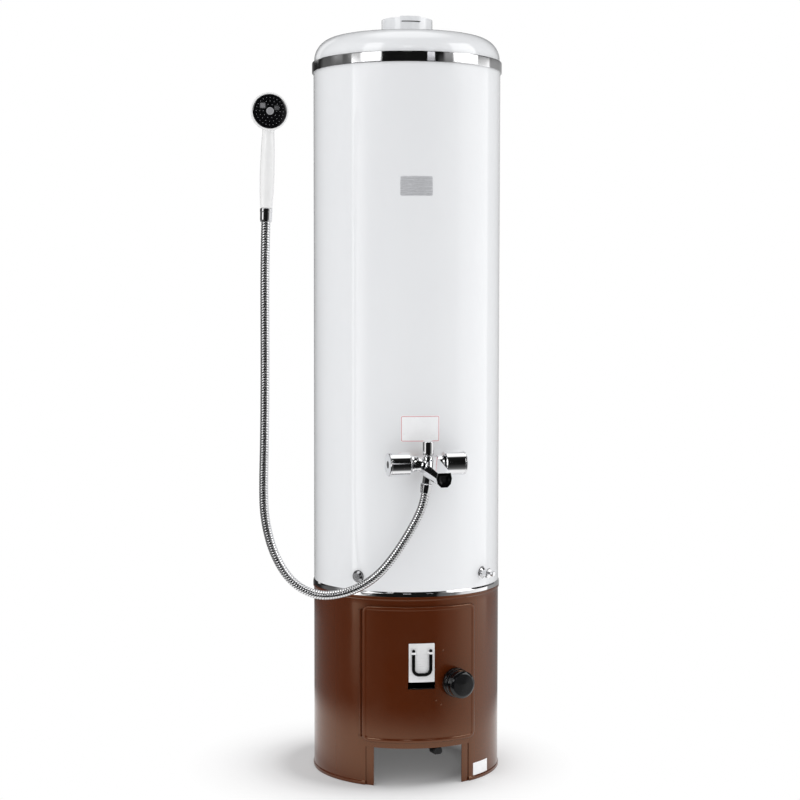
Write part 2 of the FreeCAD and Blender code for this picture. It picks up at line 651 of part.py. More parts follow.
def damper_parts():
    """Damper disc and stepped lever, and the black tip, all about the damper pin."""
    top = "(floor_level - gap)"
    low = f"({top} - damper_wall)"
    step_start = "(lever_length - 54)"
    step_end = "(lever_length - 40)"
    bar_end = "(lever_length - 6)"
    side = (
        ("0", top),
        (f"-{step_start}", top),
        (f"-{step_end}", f"{top} - lever_drop"),
        (f"-{bar_end}", f"{top} - lever_drop"),
        (f"-{bar_end}", f"{low} - lever_drop"),
        (f"-{step_end} - damper_wall / 2", f"{low} - lever_drop"),
        (f"-{step_start} - damper_wall / 2", low),
        ("0", low),
    )
    bar = padded("lever_bar", side, "lever_width", "YZ_Plane")
    eye = cylinder("lever_eye", "lever_width / 2 + 2", "damper_wall", z=low)
    disc = cylinder("damper_disc", "damper_radius", "damper_wall", y="damper_pivot_reach", z=low)
    neck = block("damper_neck", "lever_width", "damper_pivot_reach", "damper_wall")
    place(neck, y="damper_pivot_reach / 2", z=low)
    bore_radius = "damper_pin_radius + running_clearance"
    bore = cylinder("lever_bore", bore_radius, "4 * damper_wall", z=f"{low} - damper_wall")
    lever = cut("damper_lever", joined("damper_sheet", bar, eye, disc, neck), bore)
    place(lever, y="-damper_pivot_reach", turn="damper_rest_turn")

    middle = f"({low} - lever_drop + damper_wall / 2)"
    tip_block = padded(
        "tip_block",
        (
            ("-tip_width / 2", f"{middle} - tip_height / 2"),
            ("tip_width / 2", f"{middle} - tip_height / 2"),
            ("tip_width / 2", f"{middle} + tip_height / 2"),
            ("-tip_width / 2", f"{middle} + tip_height / 2"),
        ),
        "tip_length",
        "XZ_Plane",
        both=False,
        offset="lever_length - tip_length",
    )
    rounded(tip_block, "tip_height / 2 - 1.5", lambda edge: abs(edge.tangentAt(edge.FirstParameter).y) > 0.9)
    front = -number("lever_length")
    rounded(tip_block, "2", lambda edge: all(abs(v.Y - front) < 0.01 for v in edge.Vertexes))
    slot = place(
        block("tip_slot", "lever_width + 2 * seat_gap", "2 * tip_length", "damper_wall + 2 * seat_gap"),
        y=f"-{bar_end} + tip_length - seat_gap",
        z=f"{low} - lever_drop - seat_gap",
    )
    tip = place(cut("damper_tip", tip_block, slot), y="-damper_pivot_reach", turn="damper_rest_turn")
    return lever, tip


def pan_runners():
    """Two rails on the floor that lift the ash pan over the edge of the opening."""
    rails = []
    for side, sign in (("left", "-"), ("right", "")):
        rail = block(f"runner_{side}", "runner_width", "pan_length - 20", "runner_height")
        middle = "pan_length / 2 - pan_front"
        rails.append(place(rail, x=f"{sign}runner_spacing / 2", y=middle, z=FLOOR_TOP))
    return group("pan_runners", *rails)


def ash_pan():
    """Open sheet pan with a folded grip at its front."""
    bottom = f"({FLOOR_TOP} + runner_height)"
    middle = "pan_length / 2 - pan_front"
    outside = place(block("pan_outside", "pan_width", "pan_length", "pan_height"), y=middle, z=bottom)
    inside = place(
        block("pan_inside", "pan_width - 2 * pan_wall", "pan_length - 2 * pan_wall", "pan_height"),
        y=middle,
        z=f"{bottom} + pan_wall",
    )
    grip = padded(
        "pan_grip",
        (
            ("-pan_front", f"{bottom} + pan_height - pan_wall"),
            ("-pan_front - 12", f"{bottom} + pan_height - pan_wall"),
            ("-pan_front - 12", f"{bottom} + pan_height - 9"),
            ("-pan_front - 12 - pan_wall", f"{bottom} + pan_height - 9"),
            ("-pan_front - 12 - pan_wall", f"{bottom} + pan_height"),
            ("-pan_front", f"{bottom} + pan_height"),
        ),
        "pan_width / 2.5",
        "YZ_Plane",
    )
    return joined("ash_pan", cut("pan_box", outside, inside), grip)


def grate_frame():
    """Plate that carries the grate and the bricks, with a turned-down edge and a straight front."""
    outer = f"({CASING_INSIDE} - seat_gap)"
    low = "(grate_level - frame_plate)"
    points = (
        ("frame_hole_radius", low),
        (f"{outer} - leg_frame_wall", low),
        (f"{outer} - leg_frame_wall", "grate_level - frame_flange"),
        (outer, "grate_level - frame_flange"),
        (outer, "grate_level"),
        ("frame_hole_radius", "grate_level"),
    )
    whole = revolved("frame_ring", points)
    front = place(
        block("frame_front_cut", "3 * frame_front", "frame_front", "3 * frame_flange"),
        y="-1.5 * frame_front",
        z="grate_level - 2 * frame_flange",
    )
    return cut("grate_frame", whole, front)


def grate():
    """Round cast grate with straight slots."""
    disc = cylinder("grate_disc", "grate_radius", "grate_thickness", z="grate_level")
    bars = []
    for index in range(GRATE_SLOTS):
        offset = index - (GRATE_SLOTS - 1) / 2
        bar = block(f"grate_bar_{index + 1}", "slot_width", "2 * grate_radius", "3 * grate_thickness")
        bars.append(place(bar, x=f"{offset} * slot_pitch", z="grate_level - grate_thickness"))
    level = "grate_level - grate_thickness"
    reach = cylinder("slot_reach", "frame_hole_radius - 3", "3 * grate_thickness", z=level)
    slots = shared("grate_slots", joined("grate_bars", *bars), reach)
    return cut("grate", disc, slots)


def firebricks():
    """Lining of curved bricks, open behind the door."""
    top = f"({TOP_PLATE_TOP} - top_plate - gap)"
    pitch = f"((360 - 2 * brick_gap_angle) / {BRICK_COUNT})"
    bricks = []
    for index in range(BRICK_COUNT):
        middle = f"brick_gap_angle + ({index} + 0.5) * {pitch}"
        name = f"brick_{index + 1}"
        span = f"{pitch} - brick_joint"
        brick = sector(name, "brick_inner_radius", "brick_outer_radius", "grate_level", top, middle, span)
        bricks.append(brick)
    return group("firebricks", *bricks)


def base_top_plate():
    """Plate that closes the base round the fire and carries the tank."""
    outer = f"{CASING_INSIDE} - seat_gap"
    return ring("base_top_plate", "top_plate_hole", outer, f"{TOP_PLATE_TOP} - top_plate", TOP_PLATE_TOP)


def mixer_frame(item, extra_x="0"):
    """Put a piece of the mixer in its place: local +Y points away from the stove."""
    return place(item, x=extra_x, y=f"-{MIXER_DISTANCE}", z="mixer_level", turn="180 + mixer_turn")


def through_hole(name, radius, sign):
    """A level hole from the mixer's frame through jacket and tank wall."""
    points = (
        ("0", "mixer_reach - 20"),
        (radius, "mixer_reach - 20"),
        (radius, "mixer_reach + 60"),
        ("0", "mixer_reach + 60"),
    )
    hole = revolved(name, tuple((x, f"-({y})") for x, y in points), plane="XY_Plane")
    shift = f"{sign}union_spacing / 2"
    return place(
        hole,
        x=f"-({shift}) * cos(mixer_turn)",
        y=f"-{MIXER_DISTANCE} - ({shift}) * sin(mixer_turn)",
        z="mixer_level",
        turn="180 + mixer_turn",
    )


def nipple_holes(name):
    """Holes for the two water pipes."""
    radius = "pipe_radius + gap"
    return joined(name, through_hole(f"{name}_hot", radius, ""), through_hole(f"{name}_cold", radius, "-"))


def fitting_holes(name, radius, near, far):
    """Holes for the plug and the drain valve."""
    points = (("0", near), (radius, near), (radius, far), ("0", far))
    plug = radial(f"{name}_plug", points, "plug_azimuth", "fitting_level")
    valve = radial(f"{name}_valve", points, "valve_azimuth", "fitting_level")
    return joined(name, plug, valve)


def water_tank():
    """Tank wall with its skirt, the head and the fire crown."""
    wall = ring("tank_tube", TANK_INSIDE, "tank_radius", TOP_PLATE_TOP, TANK_TOP)
    bore = "socket_radius + seat_gap"
    sockets = fitting_holes("tank_socket_holes", bore, "tank_radius - 20", "tank_radius + 20")
    holes = joined("tank_holes", nipple_holes("tank_pipe_holes"), sockets)
    tank_wall = cut("tank_wall", wall, holes)

    edge = f"({TANK_INSIDE} - seat_gap)"
    middle = "(flue_radius + seat_gap)"
    head = revolved(
        "tank_head",
        (
            (edge, f"{TANK_TOP} - 12"),
            (edge, f"{TANK_TOP} - 2"),
            (middle, f"{TANK_TOP} + head_rise"),
            (middle, f"{TANK_TOP} + head_rise - tank_wall_thickness"),
            (f"{edge} - tank_wall_thickness", f"{TANK_TOP} - 4.5"),
            (f"{edge} - tank_wall_thickness", f"{TANK_TOP} - 12"),
        ),
    )
    bottom = f"({TOP_PLATE_TOP} + crown_edge_height)"
    crown = revolved(
        "fire_crown",
        (
            (edge, f"{bottom} - 8"),
            (edge, f"{bottom} + tank_wall_thickness"),
            (middle, f"{bottom} + crown_rise + tank_wall_thickness"),
            (middle, f"{bottom} + crown_rise"),
            (f"{edge} - tank_wall_thickness", bottom),
            (f"{edge} - tank_wall_thickness", f"{bottom} - 8"),
        ),
    )
    return tank_wall, head, crown


def flue_tube():
    """Tube that takes the smoke up through the water."""
    low = f"{TOP_PLATE_TOP} + crown_edge_height + crown_rise - 4"
    high = f"{COVER_TOP} - spigot_depth - gap"
    return ring("flue_tube", "flue_radius - flue_wall", "flue_radius", low, high)


def tank_sockets():
    """Threaded sockets for the plug and the drain valve."""
    points = (
        ("thread_radius + seat_gap", "tank_radius - tank_wall_thickness - 1"),
        ("socket_radius", "tank_radius - tank_wall_thickness - 1"),
        ("socket_radius", "tank_radius - tank_wall_thickness - 1 + socket_length"),
        ("thread_radius + seat_gap", "tank_radius - tank_wall_thickness - 1 + socket_length"),
    )
    plug = radial("plug_socket", points, "plug_azimuth", "fitting_level")
    valve = radial("valve_socket", points, "valve_azimuth", "fitting_level")
    return group("tank_sockets", plug, valve)


def bent_tube(route, radius, wall, bend):
    """A tube of straight runs joined by arcs of one radius, made by sweeping two circles."""
    edges = rounded_path(route, [bend] * (len(route) - 2))
    outside = swept(edges, radius)
    return outside.cut(swept(edges, radius - wall)) if wall else outside


def rounded_path(route, radii):
    """Straight runs and tangent arcs through the corners of a route."""
    edges = []
    start = route[0]
    for corner, following, before, radius in zip(route[1:-1], route[2:], route[:-2], radii):
        way_in = (corner - before).normalize()
        way_out = (following - corner).normalize()
        half_turn = way_in.getAngle(way_out) / 2
        trim = radius * math.tan(half_turn)
        arc_start = corner - way_in * trim
        arc_end = corner + way_out * trim
        inward = (way_out - way_in).normalize()
        centre = corner + inward * (radius / math.cos(half_turn))
        arc_middle = centre - inward * radius
        edges.append(Part.LineSegment(start, arc_start).toShape())
        edges.append(Part.Arc(arc_start, arc_middle, arc_end).toShape())
        start = arc_end
    edges.append(Part.LineSegment(start, route[-1]).toShape())
    return edges


def swept(edges, radius):
    """A round solid along a path."""
    path = Part.Wire(edges)
    first = edges[0]
    start = first.valueAt(first.FirstParameter)
    direction = first.tangentAt(first.FirstParameter)
    circle = Part.Wire([Part.Circle(start, direction, radius).toShape()])
    return path.makePipeShell([circle], True, False)


def made(name, shape, x="0", y="0", z="0", turn="0"):
    """A feature whose shape comes from Part's own functions."""
    item = document.addObject("Part::Feature", name)
    item.Shape = shape
    return place(item, x, y, z, turn)


def water_pipes():
    """Cold pipe that ends low in the tank, and hot pipe that ends high in it."""
    pipes = []
    outer_end = -number(f"{NECK_END} + seat_gap")
    inner_end = -number("mixer_reach + pipe_depth")
    for name, sign, rise in (("cold_pipe", -1, "-cold_pipe_drop"), ("hot_pipe", 1, "hot_pipe_rise")):
        side = sign * number("union_spacing") / 2
        route = [
            Vector(side, outer_end, 0),
            Vector(side, inner_end, 0),
            Vector(side, inner_end, number(rise)),
        ]
        tube = bent_tube(route, number("pipe_radius"), number("pipe_wall"), number("pipe_bend"))
        pipes.append(mixer_frame(made(name, tube)))
    return pipes


def insulation():
    """Mineral wool between tank and jacket."""
    wool = ring("wool", "tank_radius + gap", f"{JACKET_INSIDE} - gap", f"{TOP_PLATE_TOP} + gap", TANK_TOP)
    sockets = fitting_holes("wool_holes", "socket_radius + gap", "tank_radius - 20", "jacket_radius + 20")
    return cut("insulation", wool, joined("wool_cuts", sockets, nipple_holes("wool_pipe_holes")))


def jacket():
    """White enamelled jacket with holes for the fittings."""
    tube = ring("jacket_tube", JACKET_INSIDE, "jacket_radius", "base_height", JACKET_TOP)
    bore = "thread_radius + gap"
    sockets = fitting_holes("jacket_holes", bore, "jacket_radius - 20", "jacket_radius + 20")
    return cut("jacket", tube, joined("jacket_cuts", sockets, nipple_holes("jacket_pipe_holes")))


def lower_trim():
    """Bright sloped ring at the foot of the jacket."""
    inner = "(jacket_radius + seat_gap)"
    points = (
        (inner, "base_height"),
        (f"{inner} + lower_trim_width", "base_height"),
        (f"{inner} + lower_trim_width", "base_height + 2"),
        (f"{inner} + lower_trim_width / 2", "base_height + lower_trim_height"),
        (inner, "base_height + lower_trim_height"),
    )
    return revolved("lower_trim", points)


def upper_band():
    """Bright band that covers the joint between jacket and cover."""
    inner = "(jacket_radius + seat_gap)"
    top = f"({BAND_BOTTOM} + band_height)"
    lip = f"({COVER_RADIUS} + gap)"
    points = (
        (inner, BAND_BOTTOM),
        ("band_radius - 0.6", BAND_BOTTOM),
        ("band_radius", f"{BAND_BOTTOM} + 0.6"),
        ("band_radius", f"{top} - 0.6"),
        ("band_radius - 0.6", top),
        (lip, top),
        (lip, f"{top} - 1.5"),
        (inner, f"{top} - 1.5"),
    )
    return revolved("upper_band", points)


def top_cover():
    """White cover with a round shoulder and a hole for the flue collar."""
    hole = "(spigot_radius + gap)"
    low = f"({JACKET_TOP} - cover_skirt)"
    points = (
        (f"{COVER_RADIUS} - jacket_wall", low),
        (COVER_RADIUS, low),
        (COVER_RADIUS, COVER_RIM, "cover_shoulder"),
        (hole, COVER_TOP),
        (hole, f"{COVER_TOP} - jacket_wall"),
        (f"{COVER_RADIUS} - jacket_wall", f"{COVER_RIM} - jacket_wall", "cover_shoulder - jacket_wall"),
    )
    return revolved("top_cover", points)


def flue_spigot():
    """Collar for the flue pipe, with the strap that is pressed out of its front."""
    inside = "(spigot_radius - spigot_wall)"
    strap_low = f"({SPIGOT_TOP} - strap_height + 1.5)"
    strap_outer = "(spigot_radius + strap_reach)"
    tube = ring("spigot_tube", inside, "spigot_radius", f"{COVER_TOP} - spigot_depth", SPIGOT_TOP)
    window = sector(
        "strap_window",
        f"{inside} - 5",
        "spigot_radius + 5",
        f"{strap_low} - 1.5",
        f"{SPIGOT_TOP} + 5",
        "0",
        "2 * strap_half_angle - 5",
    )
    strap = sector(
        "strap_band",
        f"{strap_outer} - spigot_wall",
        strap_outer,
        strap_low,
        f"{strap_low} + strap_height",
        "0",
        "2 * strap_half_angle",
    )
    ends = []
    for side, sign in (("left", "-"), ("right", "")):
        middle = f"{sign}(strap_half_angle - 1.5)"
        top = f"{strap_low} + strap_height - 1.5"
        ends.append(sector(f"strap_end_{side}", inside, strap_outer, strap_low, top, middle, "3"))
    return joined("flue_spigot", cut("spigot_cut", tube, window), strap, *ends)


def stickers():
    """Bare stickers over the mixer and on the right leg."""
    tap = around(
        "tap_sticker",
        "label_thickness",
        "tap_label_width",
        "tap_label_height",
        "tap_label_level",
        "tap_label_azimuth",
    )
    leg = around(
        "leg_sticker",
        "label_thickness",
        "base_label_width",
        "base_label_height",
        "base_label_level",
        "base_label_azimuth",
        "casing_radius",
    )
    return group("stickers", tap, leg)


def drain_plug():
    """Plug with a bevelled cap, and the ring under it."""
    seat = "(jacket_radius + gasket_thickness)"
    plug = radial(
        "drain_plug",
        (
            ("0", "tank_radius"),
            ("thread_radius", "tank_radius"),
            ("thread_radius", seat),
            ("plug_radius", seat),
            ("plug_radius", f"{seat} + 2.2"),
            ("plug_face_radius", "jacket_radius + plug_reach"),
            ("0", "jacket_radius + plug_reach"),
        ),
        "plug_azimuth",
        "fitting_level",
    )
    gasket = radial(
        "plug_gasket",
        (
            ("thread_radius + seat_gap", "jacket_radius"),
            ("plug_radius + 0.6", "jacket_radius"),
            ("plug_radius + 0.6", seat),
            ("thread_radius + seat_gap", seat),
        ),
        "plug_azimuth",
        "fitting_level",
    )
    return plug, gasket


def drain_valve():
    """Rosette, valve body and the spindle with its small knob."""
    nut_front = "(jacket_radius + valve_nut_reach)"
    nut_back = f"({nut_front} - valve_nut_length)"
    bore = "(valve_spindle_radius + running_clearance)"
    knob_back = f"({nut_front} + valve_knob_gap)"
    knob_front = f"({knob_back} + valve_knob_length)"
    rosette = radial(
        "valve_rosette",
        (
            ("thread_radius + seat_gap", "jacket_radius"),
            ("rosette_radius", "jacket_radius"),
            ("rosette_radius", "jacket_radius + 1"),
            ("rosette_radius - 1.5", "jacket_radius + rosette_thickness"),
            ("thread_radius + seat_gap", "jacket_radius + rosette_thickness"),
        ),
        "valve_azimuth",
        "fitting_level",
    )
    valve = radial(
        "drain_valve_body",
        (
            ("0", "tank_radius"),
            ("thread_radius", "tank_radius"),
            ("thread_radius", "jacket_radius + rosette_thickness + 0.5"),
            ("valve_body_radius", "jacket_radius + rosette_thickness + 2"),
            ("valve_body_radius", nut_back),
            ("valve_nut_radius - 1", nut_back),
            ("valve_nut_radius", f"{nut_back} + 1"),
            ("valve_nut_radius", f"{nut_front} - 1"),
            ("valve_nut_radius - 1", nut_front),
            (bore, nut_front),
            (bore, f"{nut_back} - 6"),
            ("0", f"{nut_back} - 6"),
        ),
        "valve_azimuth",
        "fitting_level",
    )
    spindle = radial(
        "valve_spindle",
        (
            ("0", f"{nut_back} - 4"),
            ("valve_spindle_radius", f"{nut_back} - 4"),
            ("valve_spindle_radius", knob_back),
            ("valve_knob_radius - 0.8", knob_back),
            ("valve_knob_radius", f"{knob_back} + 0.8"),
            ("valve_knob_radius", f"{knob_front} - 0.8"),
            ("valve_knob_radius - 0.8", knob_front),
            ("0", knob_front),
        ),
        "valve_azimuth",
        "fitting_level",
    )
    return rosette, valve, spindle


def faceted_section(width, height, middle):
    """Six-sided section of the spout: flat top, widest at half height, narrower underneath."""
    return (
        (f"-0.47 * ({width})", f"{middle} + ({height}) / 2"),
        (f"-0.5 * ({width})", f"{middle} + 0.05 * ({height})"),
        (f"-0.28 * ({width})", f"{middle} - ({height}) / 2"),
        (f"0.28 * ({width})", f"{middle} - ({height}) / 2"),
        (f"0.5 * ({width})", f"{middle} + 0.05 * ({height})"),
        (f"0.47 * ({width})", f"{middle} + ({height}) / 2"),
    )


def mixer_body():
    """Cast body: eight-sided bar, faceted spout, necks for diverter, hose and unions."""
    flat = "mixer_bar / 2"
    corner = "mixer_bar * 0.2071"
    octagon = (
        (f"-{flat}", f"-{corner}"),
        (f"-{corner}", f"-{flat}"),
        (corner, f"-{flat}"),
        (flat, f"-{corner}"),
        (flat, corner),
        (corner, flat),
        (f"-{corner}", flat),
        (f"-{flat}", corner),
    )
    bar = padded("mixer_bar", octagon, "2 * mixer_half_length", "YZ_Plane")

    spout = document.addObject("PartDesign::Body", "spout")
    root_section = faceted_section("spout_root_width", "spout_root_height", "0")
    root = sketch_outline(spout, "spout_root", "XZ_Plane", root_section, "-spout_start")
    tip_section = faceted_section("spout_tip_width", "spout_tip_height", "-spout_drop")
    tip = sketch_outline(spout, "spout_tip", "XZ_Plane", tip_section, "-spout_length")
    loft = spout.newObject("PartDesign::AdditiveLoft", "spout_loft")
    loft.Profile = root
    loft.Sections = [tip]
    loft.Ruled = True
    spout.Tip = loft

    neck = cylinder("diverter_neck", "diverter_neck", "diverter_level - 0.5", y="diverter_front", z="0")
    necks = [neck]
    for name, sign in (("union_neck_hot", ""), ("union_neck_cold", "-")):
        points = (
            ("0", "-(mixer_bar / 2 - union_neck_length)"),
            ("union_neck_radius", "-(mixer_bar / 2 - union_neck_length)"),
            ("union_neck_radius", f"-{NECK_END}"),
            ("0", f"-{NECK_END}"),
        )
        necks.append(place(revolved(name, points, plane="XY_Plane"), x=f"{sign}union_spacing / 2"))
    reach = "outlet_radius + 1.5"
    boss = revolved("outlet_boss", (("0", "-outlet_boss"), (reach, "-outlet_boss"), (reach, "0"), ("0", "0")))
    middle = Vector(0, -number(MIXER_DISTANCE), number("mixer_level"))
    mixer_place = FreeCAD.Placement(middle, FreeCAD.Rotation(number("180 + mixer_turn"), 0, 0))
    boss.Placement = mixer_place.inverse().multiply(outlet_place())
    cast = joined("mixer_cast", bar, spout, boss, *necks)

    stem_radius = "spindle_radius + running_clearance"
    stem_bore = cylinder("diverter_bore", stem_radius, "diverter_level + 10", y="diverter_front", z="-10")
    mouth = revolved(
        "spout_mouth",
        (
            ("0", "spout_length - mouth_depth"),
            ("mouth_radius", "spout_length - mouth_depth"),
            ("mouth_radius", "spout_length + 5"),
            ("0", "spout_length + 5"),
        ),
        plane="XY_Plane",
    )
    place(mouth, z="-spout_drop")
    side_bore = document.addObject("Part::Cylinder", "side_bore")
    side_bore.setExpression("Radius", bound("headwork_radius - 2"))
    side_bore.setExpression("Height", bound("2 * mixer_half_length + 10"))
    side_bore.Placement = FreeCAD.Placement(Vector(), FreeCAD.Rotation(Vector(0, 1, 0), 90))
    side_bore.setExpression("Placement.Base.x", bound("-mixer_half_length - 5"))
    bores = [stem_bore, mouth, side_bore]
    return mixer_frame(cut("mixer_body", cast, *bores))


def union_nuts():
    """Two six-sided nuts that hold the mixer to the pipes."""
    nuts = []
    back = f"({NECK_END} - union_neck_length / 2)"
    for name, sign in (("union_nut_hot", ""), ("union_nut_cold", "-")):
        prism = document.addObject("Part::Prism", f"{name}_prism")
        prism.Polygon = 6
        prism.setExpression("Circumradius", bound("union_nut_radius"))
        prism.setExpression("Height", bound("union_nut_length"))
        prism.Placement = FreeCAD.Placement(Vector(), FreeCAD.Rotation(Vector(1, 0, 0), 90))
        prism.setExpression("Placement.Base.x", bound(f"{sign}union_spacing / 2"))
        prism.setExpression("Placement.Base.y", bound(f"-{back}"))
        bore = revolved(
            f"{name}_bore",
            (
                ("0", f"-{back} + 1"),
                ("pipe_radius + seat_gap", f"-{back} + 1"),
                ("pipe_radius + seat_gap", f"-{back} - union_nut_length - 1"),
                ("0", f"-{back} - union_nut_length - 1"),
            ),
            plane="XY_Plane",
        )
        nuts.append(cut(name, prism, place(bore, x=f"{sign}union_spacing / 2")))
    return mixer_frame(group("union_nuts", *nuts))


def aerator():
    """Insert in the mouth of the spout."""
    back = "(spout_length - mouth_depth)"
    points = (
        ("0", back),
        ("mouth_radius - seat_gap", back),
        ("mouth_radius - seat_gap", "spout_length - 1"),
        ("mouth_radius - 1.5", "spout_length - 1"),
        ("mouth_radius - 1.5", "spout_length - 4"),
        ("0", "spout_length - 4"),
    )
    item = revolved("aerator", points, plane="XY_Plane")
    return place(
        item,
        y=f"-{MIXER_DISTANCE}",
        z="mixer_level - spout_drop",
        turn="180 + mixer_turn",
    )


def lateral(name, points, sign):
    """A piece turned about the mixer's long axis; the points are distance out and radius."""
    return revolved(name, tuple((f"{sign}({x})", y) for x, y in points), plane="XY_Plane", axis="H_Axis")


def tap_sides():
    """Valve inserts, knobs and spindles of the two sides."""
    bore = "(spindle_radius + running_clearance)"
    end = "(mixer_half_length + headwork_length)"
    knob_end = "(tap_knob_start + tap_knob_length)"
    cap_start = f"({knob_end} - tap_knob_cap)"
    inserts = []
    for side, sign in (("hot", ""), ("cold", "-")):
        insert = (
            ("mixer_half_length - 12", bore),
            ("mixer_half_length - 12", "headwork_radius - 2 - seat_gap"),
            ("mixer_half_length", "headwork_radius - 2 - seat_gap"),
            ("mixer_half_length", "headwork_flange"),
            ("mixer_half_length + 3", "headwork_flange"),
            ("mixer_half_length + 5", "headwork_radius"),
            (end, "headwork_radius"),
            (end, bore),
        )
        inserts.append(lateral(f"{side}_insert", insert, sign))
        knob = (
            ("tap_knob_start", "tap_knob_bore"),
            ("tap_knob_start", "tap_knob_radius - tap_knob_bevel / 2"),
            ("tap_knob_start + tap_knob_bevel / 2", "tap_knob_radius"),
            (f"{knob_end} - tap_knob_bevel", "tap_knob_radius"),
            (knob_end, "tap_knob_radius - tap_knob_bevel / 2"),
            (knob_end, "7"),
            (f"{knob_end} - 2", "7"),
            (f"{knob_end} - 2", "spindle_radius + seat_gap"),
            (cap_start, "spindle_radius + seat_gap"),
            (cap_start, "tap_knob_bore"),
        )
        keep(mixer_frame(lateral(f"{side}_knob", knob, sign)), f"{side}_knob")
        spindle = (
            ("mixer_half_length - 10", "0"),
            ("mixer_half_length - 10", "spindle_radius"),
            (f"{knob_end} - 1.9", "spindle_radius"),
            (f"{knob_end} - 1.9", "6.9"),
            (knob_end, "6.9"),
            (knob_end, "0"),
        )
        keep(mixer_frame(lateral(f"{side}_spindle", spindle, sign)), f"{side}_spindle")
    return mixer_frame(group("tap_headworks", *inserts))


def diverter_knob():
    """Pull knob that sends the water to the hose, with its stem."""
    top = "(diverter_level + diverter_height)"
    points = (
        ("0", "-8"),
        ("spindle_radius", "-8"),
        ("spindle_radius", "diverter_level"),
        ("diverter_radius - 1", "diverter_level"),
        ("diverter_radius", "diverter_level + 1"),
        ("diverter_radius", f"{top} - 1.5"),
        ("diverter_radius - 1.5", top),
        ("0", top),
    )
    knob = revolved("diverter_knob", points)
    return place(
        knob,
        x="diverter_front * sin(mixer_turn)",
        y=f"-{MIXER_DISTANCE} - diverter_front * cos(mixer_turn)",
        z="mixer_level",
    )


def hose_origin():
    """Right and up coordinates of the mixer axis in the hose's plane, and that plane's distance."""
    reach = number(MIXER_DISTANCE)
    turn = math.radians(number("hose_turn"))
    return reach * math.sin(turn), number("mixer_level"), -reach * math.cos(turn)


def in_hose_plane(right, up, lean=0.0, half_turn=0.0):
    """The placement of a piece that stands in the hose's plane."""
    distance = hose_origin()[2]
    turn = -number("hose_turn")
    base = FreeCAD.Rotation(Vector(0, 0, 1), turn).multVec(Vector(right, distance, up))
    return FreeCAD.Placement(base, FreeCAD.Rotation(turn + half_turn, lean, 0))


def outlet_place():
    """The tilted frame of the hose outlet: its axis leaves the mixer's axis downwards."""
    right, up, _ = hose_origin()
    return in_hose_plane(right + number("outlet_shift"), up, number("outlet_tilt"))


def hose_outlet():
    """Six-sided outlet under the mixer, and the tapered hose nut on it."""
    nut_top = "-outlet_nut_start"
    nut_end = "-(outlet_nut_start + hose_nut_length)"
    tail = "(hose_radius - 1)"
    hexagon = document.addObject("Part::Prism", "outlet_hexagon")
    hexagon.Polygon = 6
    hexagon.setExpression("Circumradius", bound("outlet_radius"))
    hexagon.setExpression("Height", bound("outlet_nut_start - outlet_boss"))
    hexagon.setExpression("Placement.Base.z", bound(nut_top))
    thread = cylinder("outlet_thread", tail, "10 + outlet_nut_start - outlet_boss", z=f"{nut_top} - 10")
    nipple = joined("outlet_nipple", hexagon, thread)
    nipple.Placement = outlet_place()

    prism = document.addObject("Part::Prism", "lower_nut_prism")
    prism.Polygon = 8
    prism.setExpression("Circumradius", bound("hose_nut_radius"))
    prism.setExpression("Height", bound("hose_nut_length"))
    prism.setExpression("Placement.Base.z", bound(nut_end))
    taper = document.addObject("Part::Cone", "lower_nut_taper")
    taper.setExpression("Radius1", bound("hose_nut_radius - 1.6"))
    taper.setExpression("Radius2", bound("hose_nut_radius"))
    taper.setExpression("Height", bound("hose_nut_length"))
    taper.setExpression("Placement.Base.z", bound(nut_end))
    bore = cylinder("lower_nut_bore", f"{tail} + seat_gap", "11", z=f"{nut_top} - 10.5")
    nut = cut("hose_nut_lower", shared("lower_nut_body", prism, taper), bore)
    nut.Placement = outlet_place()
    return nipple, nut


def hose_route():
    """Corners of the hose in its plane, from the lower nut to the upper one."""
    distance = hose_origin()[2]
    tilt = math.radians(number("outlet_tilt"))
    lean = math.radians(number("hand_lean"))
    down = Vector(-math.sin(tilt), 0, -math.cos(tilt))
    right, up, _ = hose_origin()
    outlet = Vector(right + number("outlet_shift"), distance, up)
    mouth = outlet + down * number("outlet_nut_start + hose_nut_length")
    corners = [mouth, mouth + down * HOSE_FIRST_RUN] + [mouth + Vector(x, 0, z) for x, z in HOSE_ROUTE]
    last = corners[-1] + Vector(math.sin(lean), 0, math.cos(lean)) * HOSE_LAST_RUN
    return corners + [last]


def shower_hose(route):
    """The ribbed hose: a stepped skin along runs and arcs, with its bore."""
    radii = []
    for before, corner, following in zip(route, route[1:], route[2:]):
        way_in = corner - before
        way_out = following - corner
        shorter = min(way_in.Length, way_out.Length)
        radii.append(0.45 * shorter / math.tan(way_in.getAngle(way_out) / 2))
    edges = rounded_path(route, radii)
    length = sum(edge.Length for edge in edges)
    crest = number("hose_radius")
    root = crest - number("hose_groove")
    bore = number("hose_bore")
    plain = number("hose_plain_end")
    count = round((length - 2 * plain) / number("hose_rib_pitch"))
    pitch = (length - 2 * plain) / count
    rings = [(0.0, root)]
    for index in range(count):
        start = plain + index * pitch
        rings += [
            (start, root),
            (start + 0.15 * pitch, crest),
            (start + 0.65 * pitch, crest),
            (start + 0.8 * pitch, root),
        ]
    rings.append((length, root))
    skin = Part.makeLoft([ring_across(edges, reach, radius) for reach, radius in rings], True, True)
    hole = swept(edges, bore)
    print("hose length", round(length, 1), "ribs", count, "arc radii", [round(r, 1) for r in radii])
    print("hose bore volume over section times length", round(hole.Volume / (math.pi * bore**2 * length), 4))
    return made("shower_hose", skin.cut(hole), turn="-hose_turn")


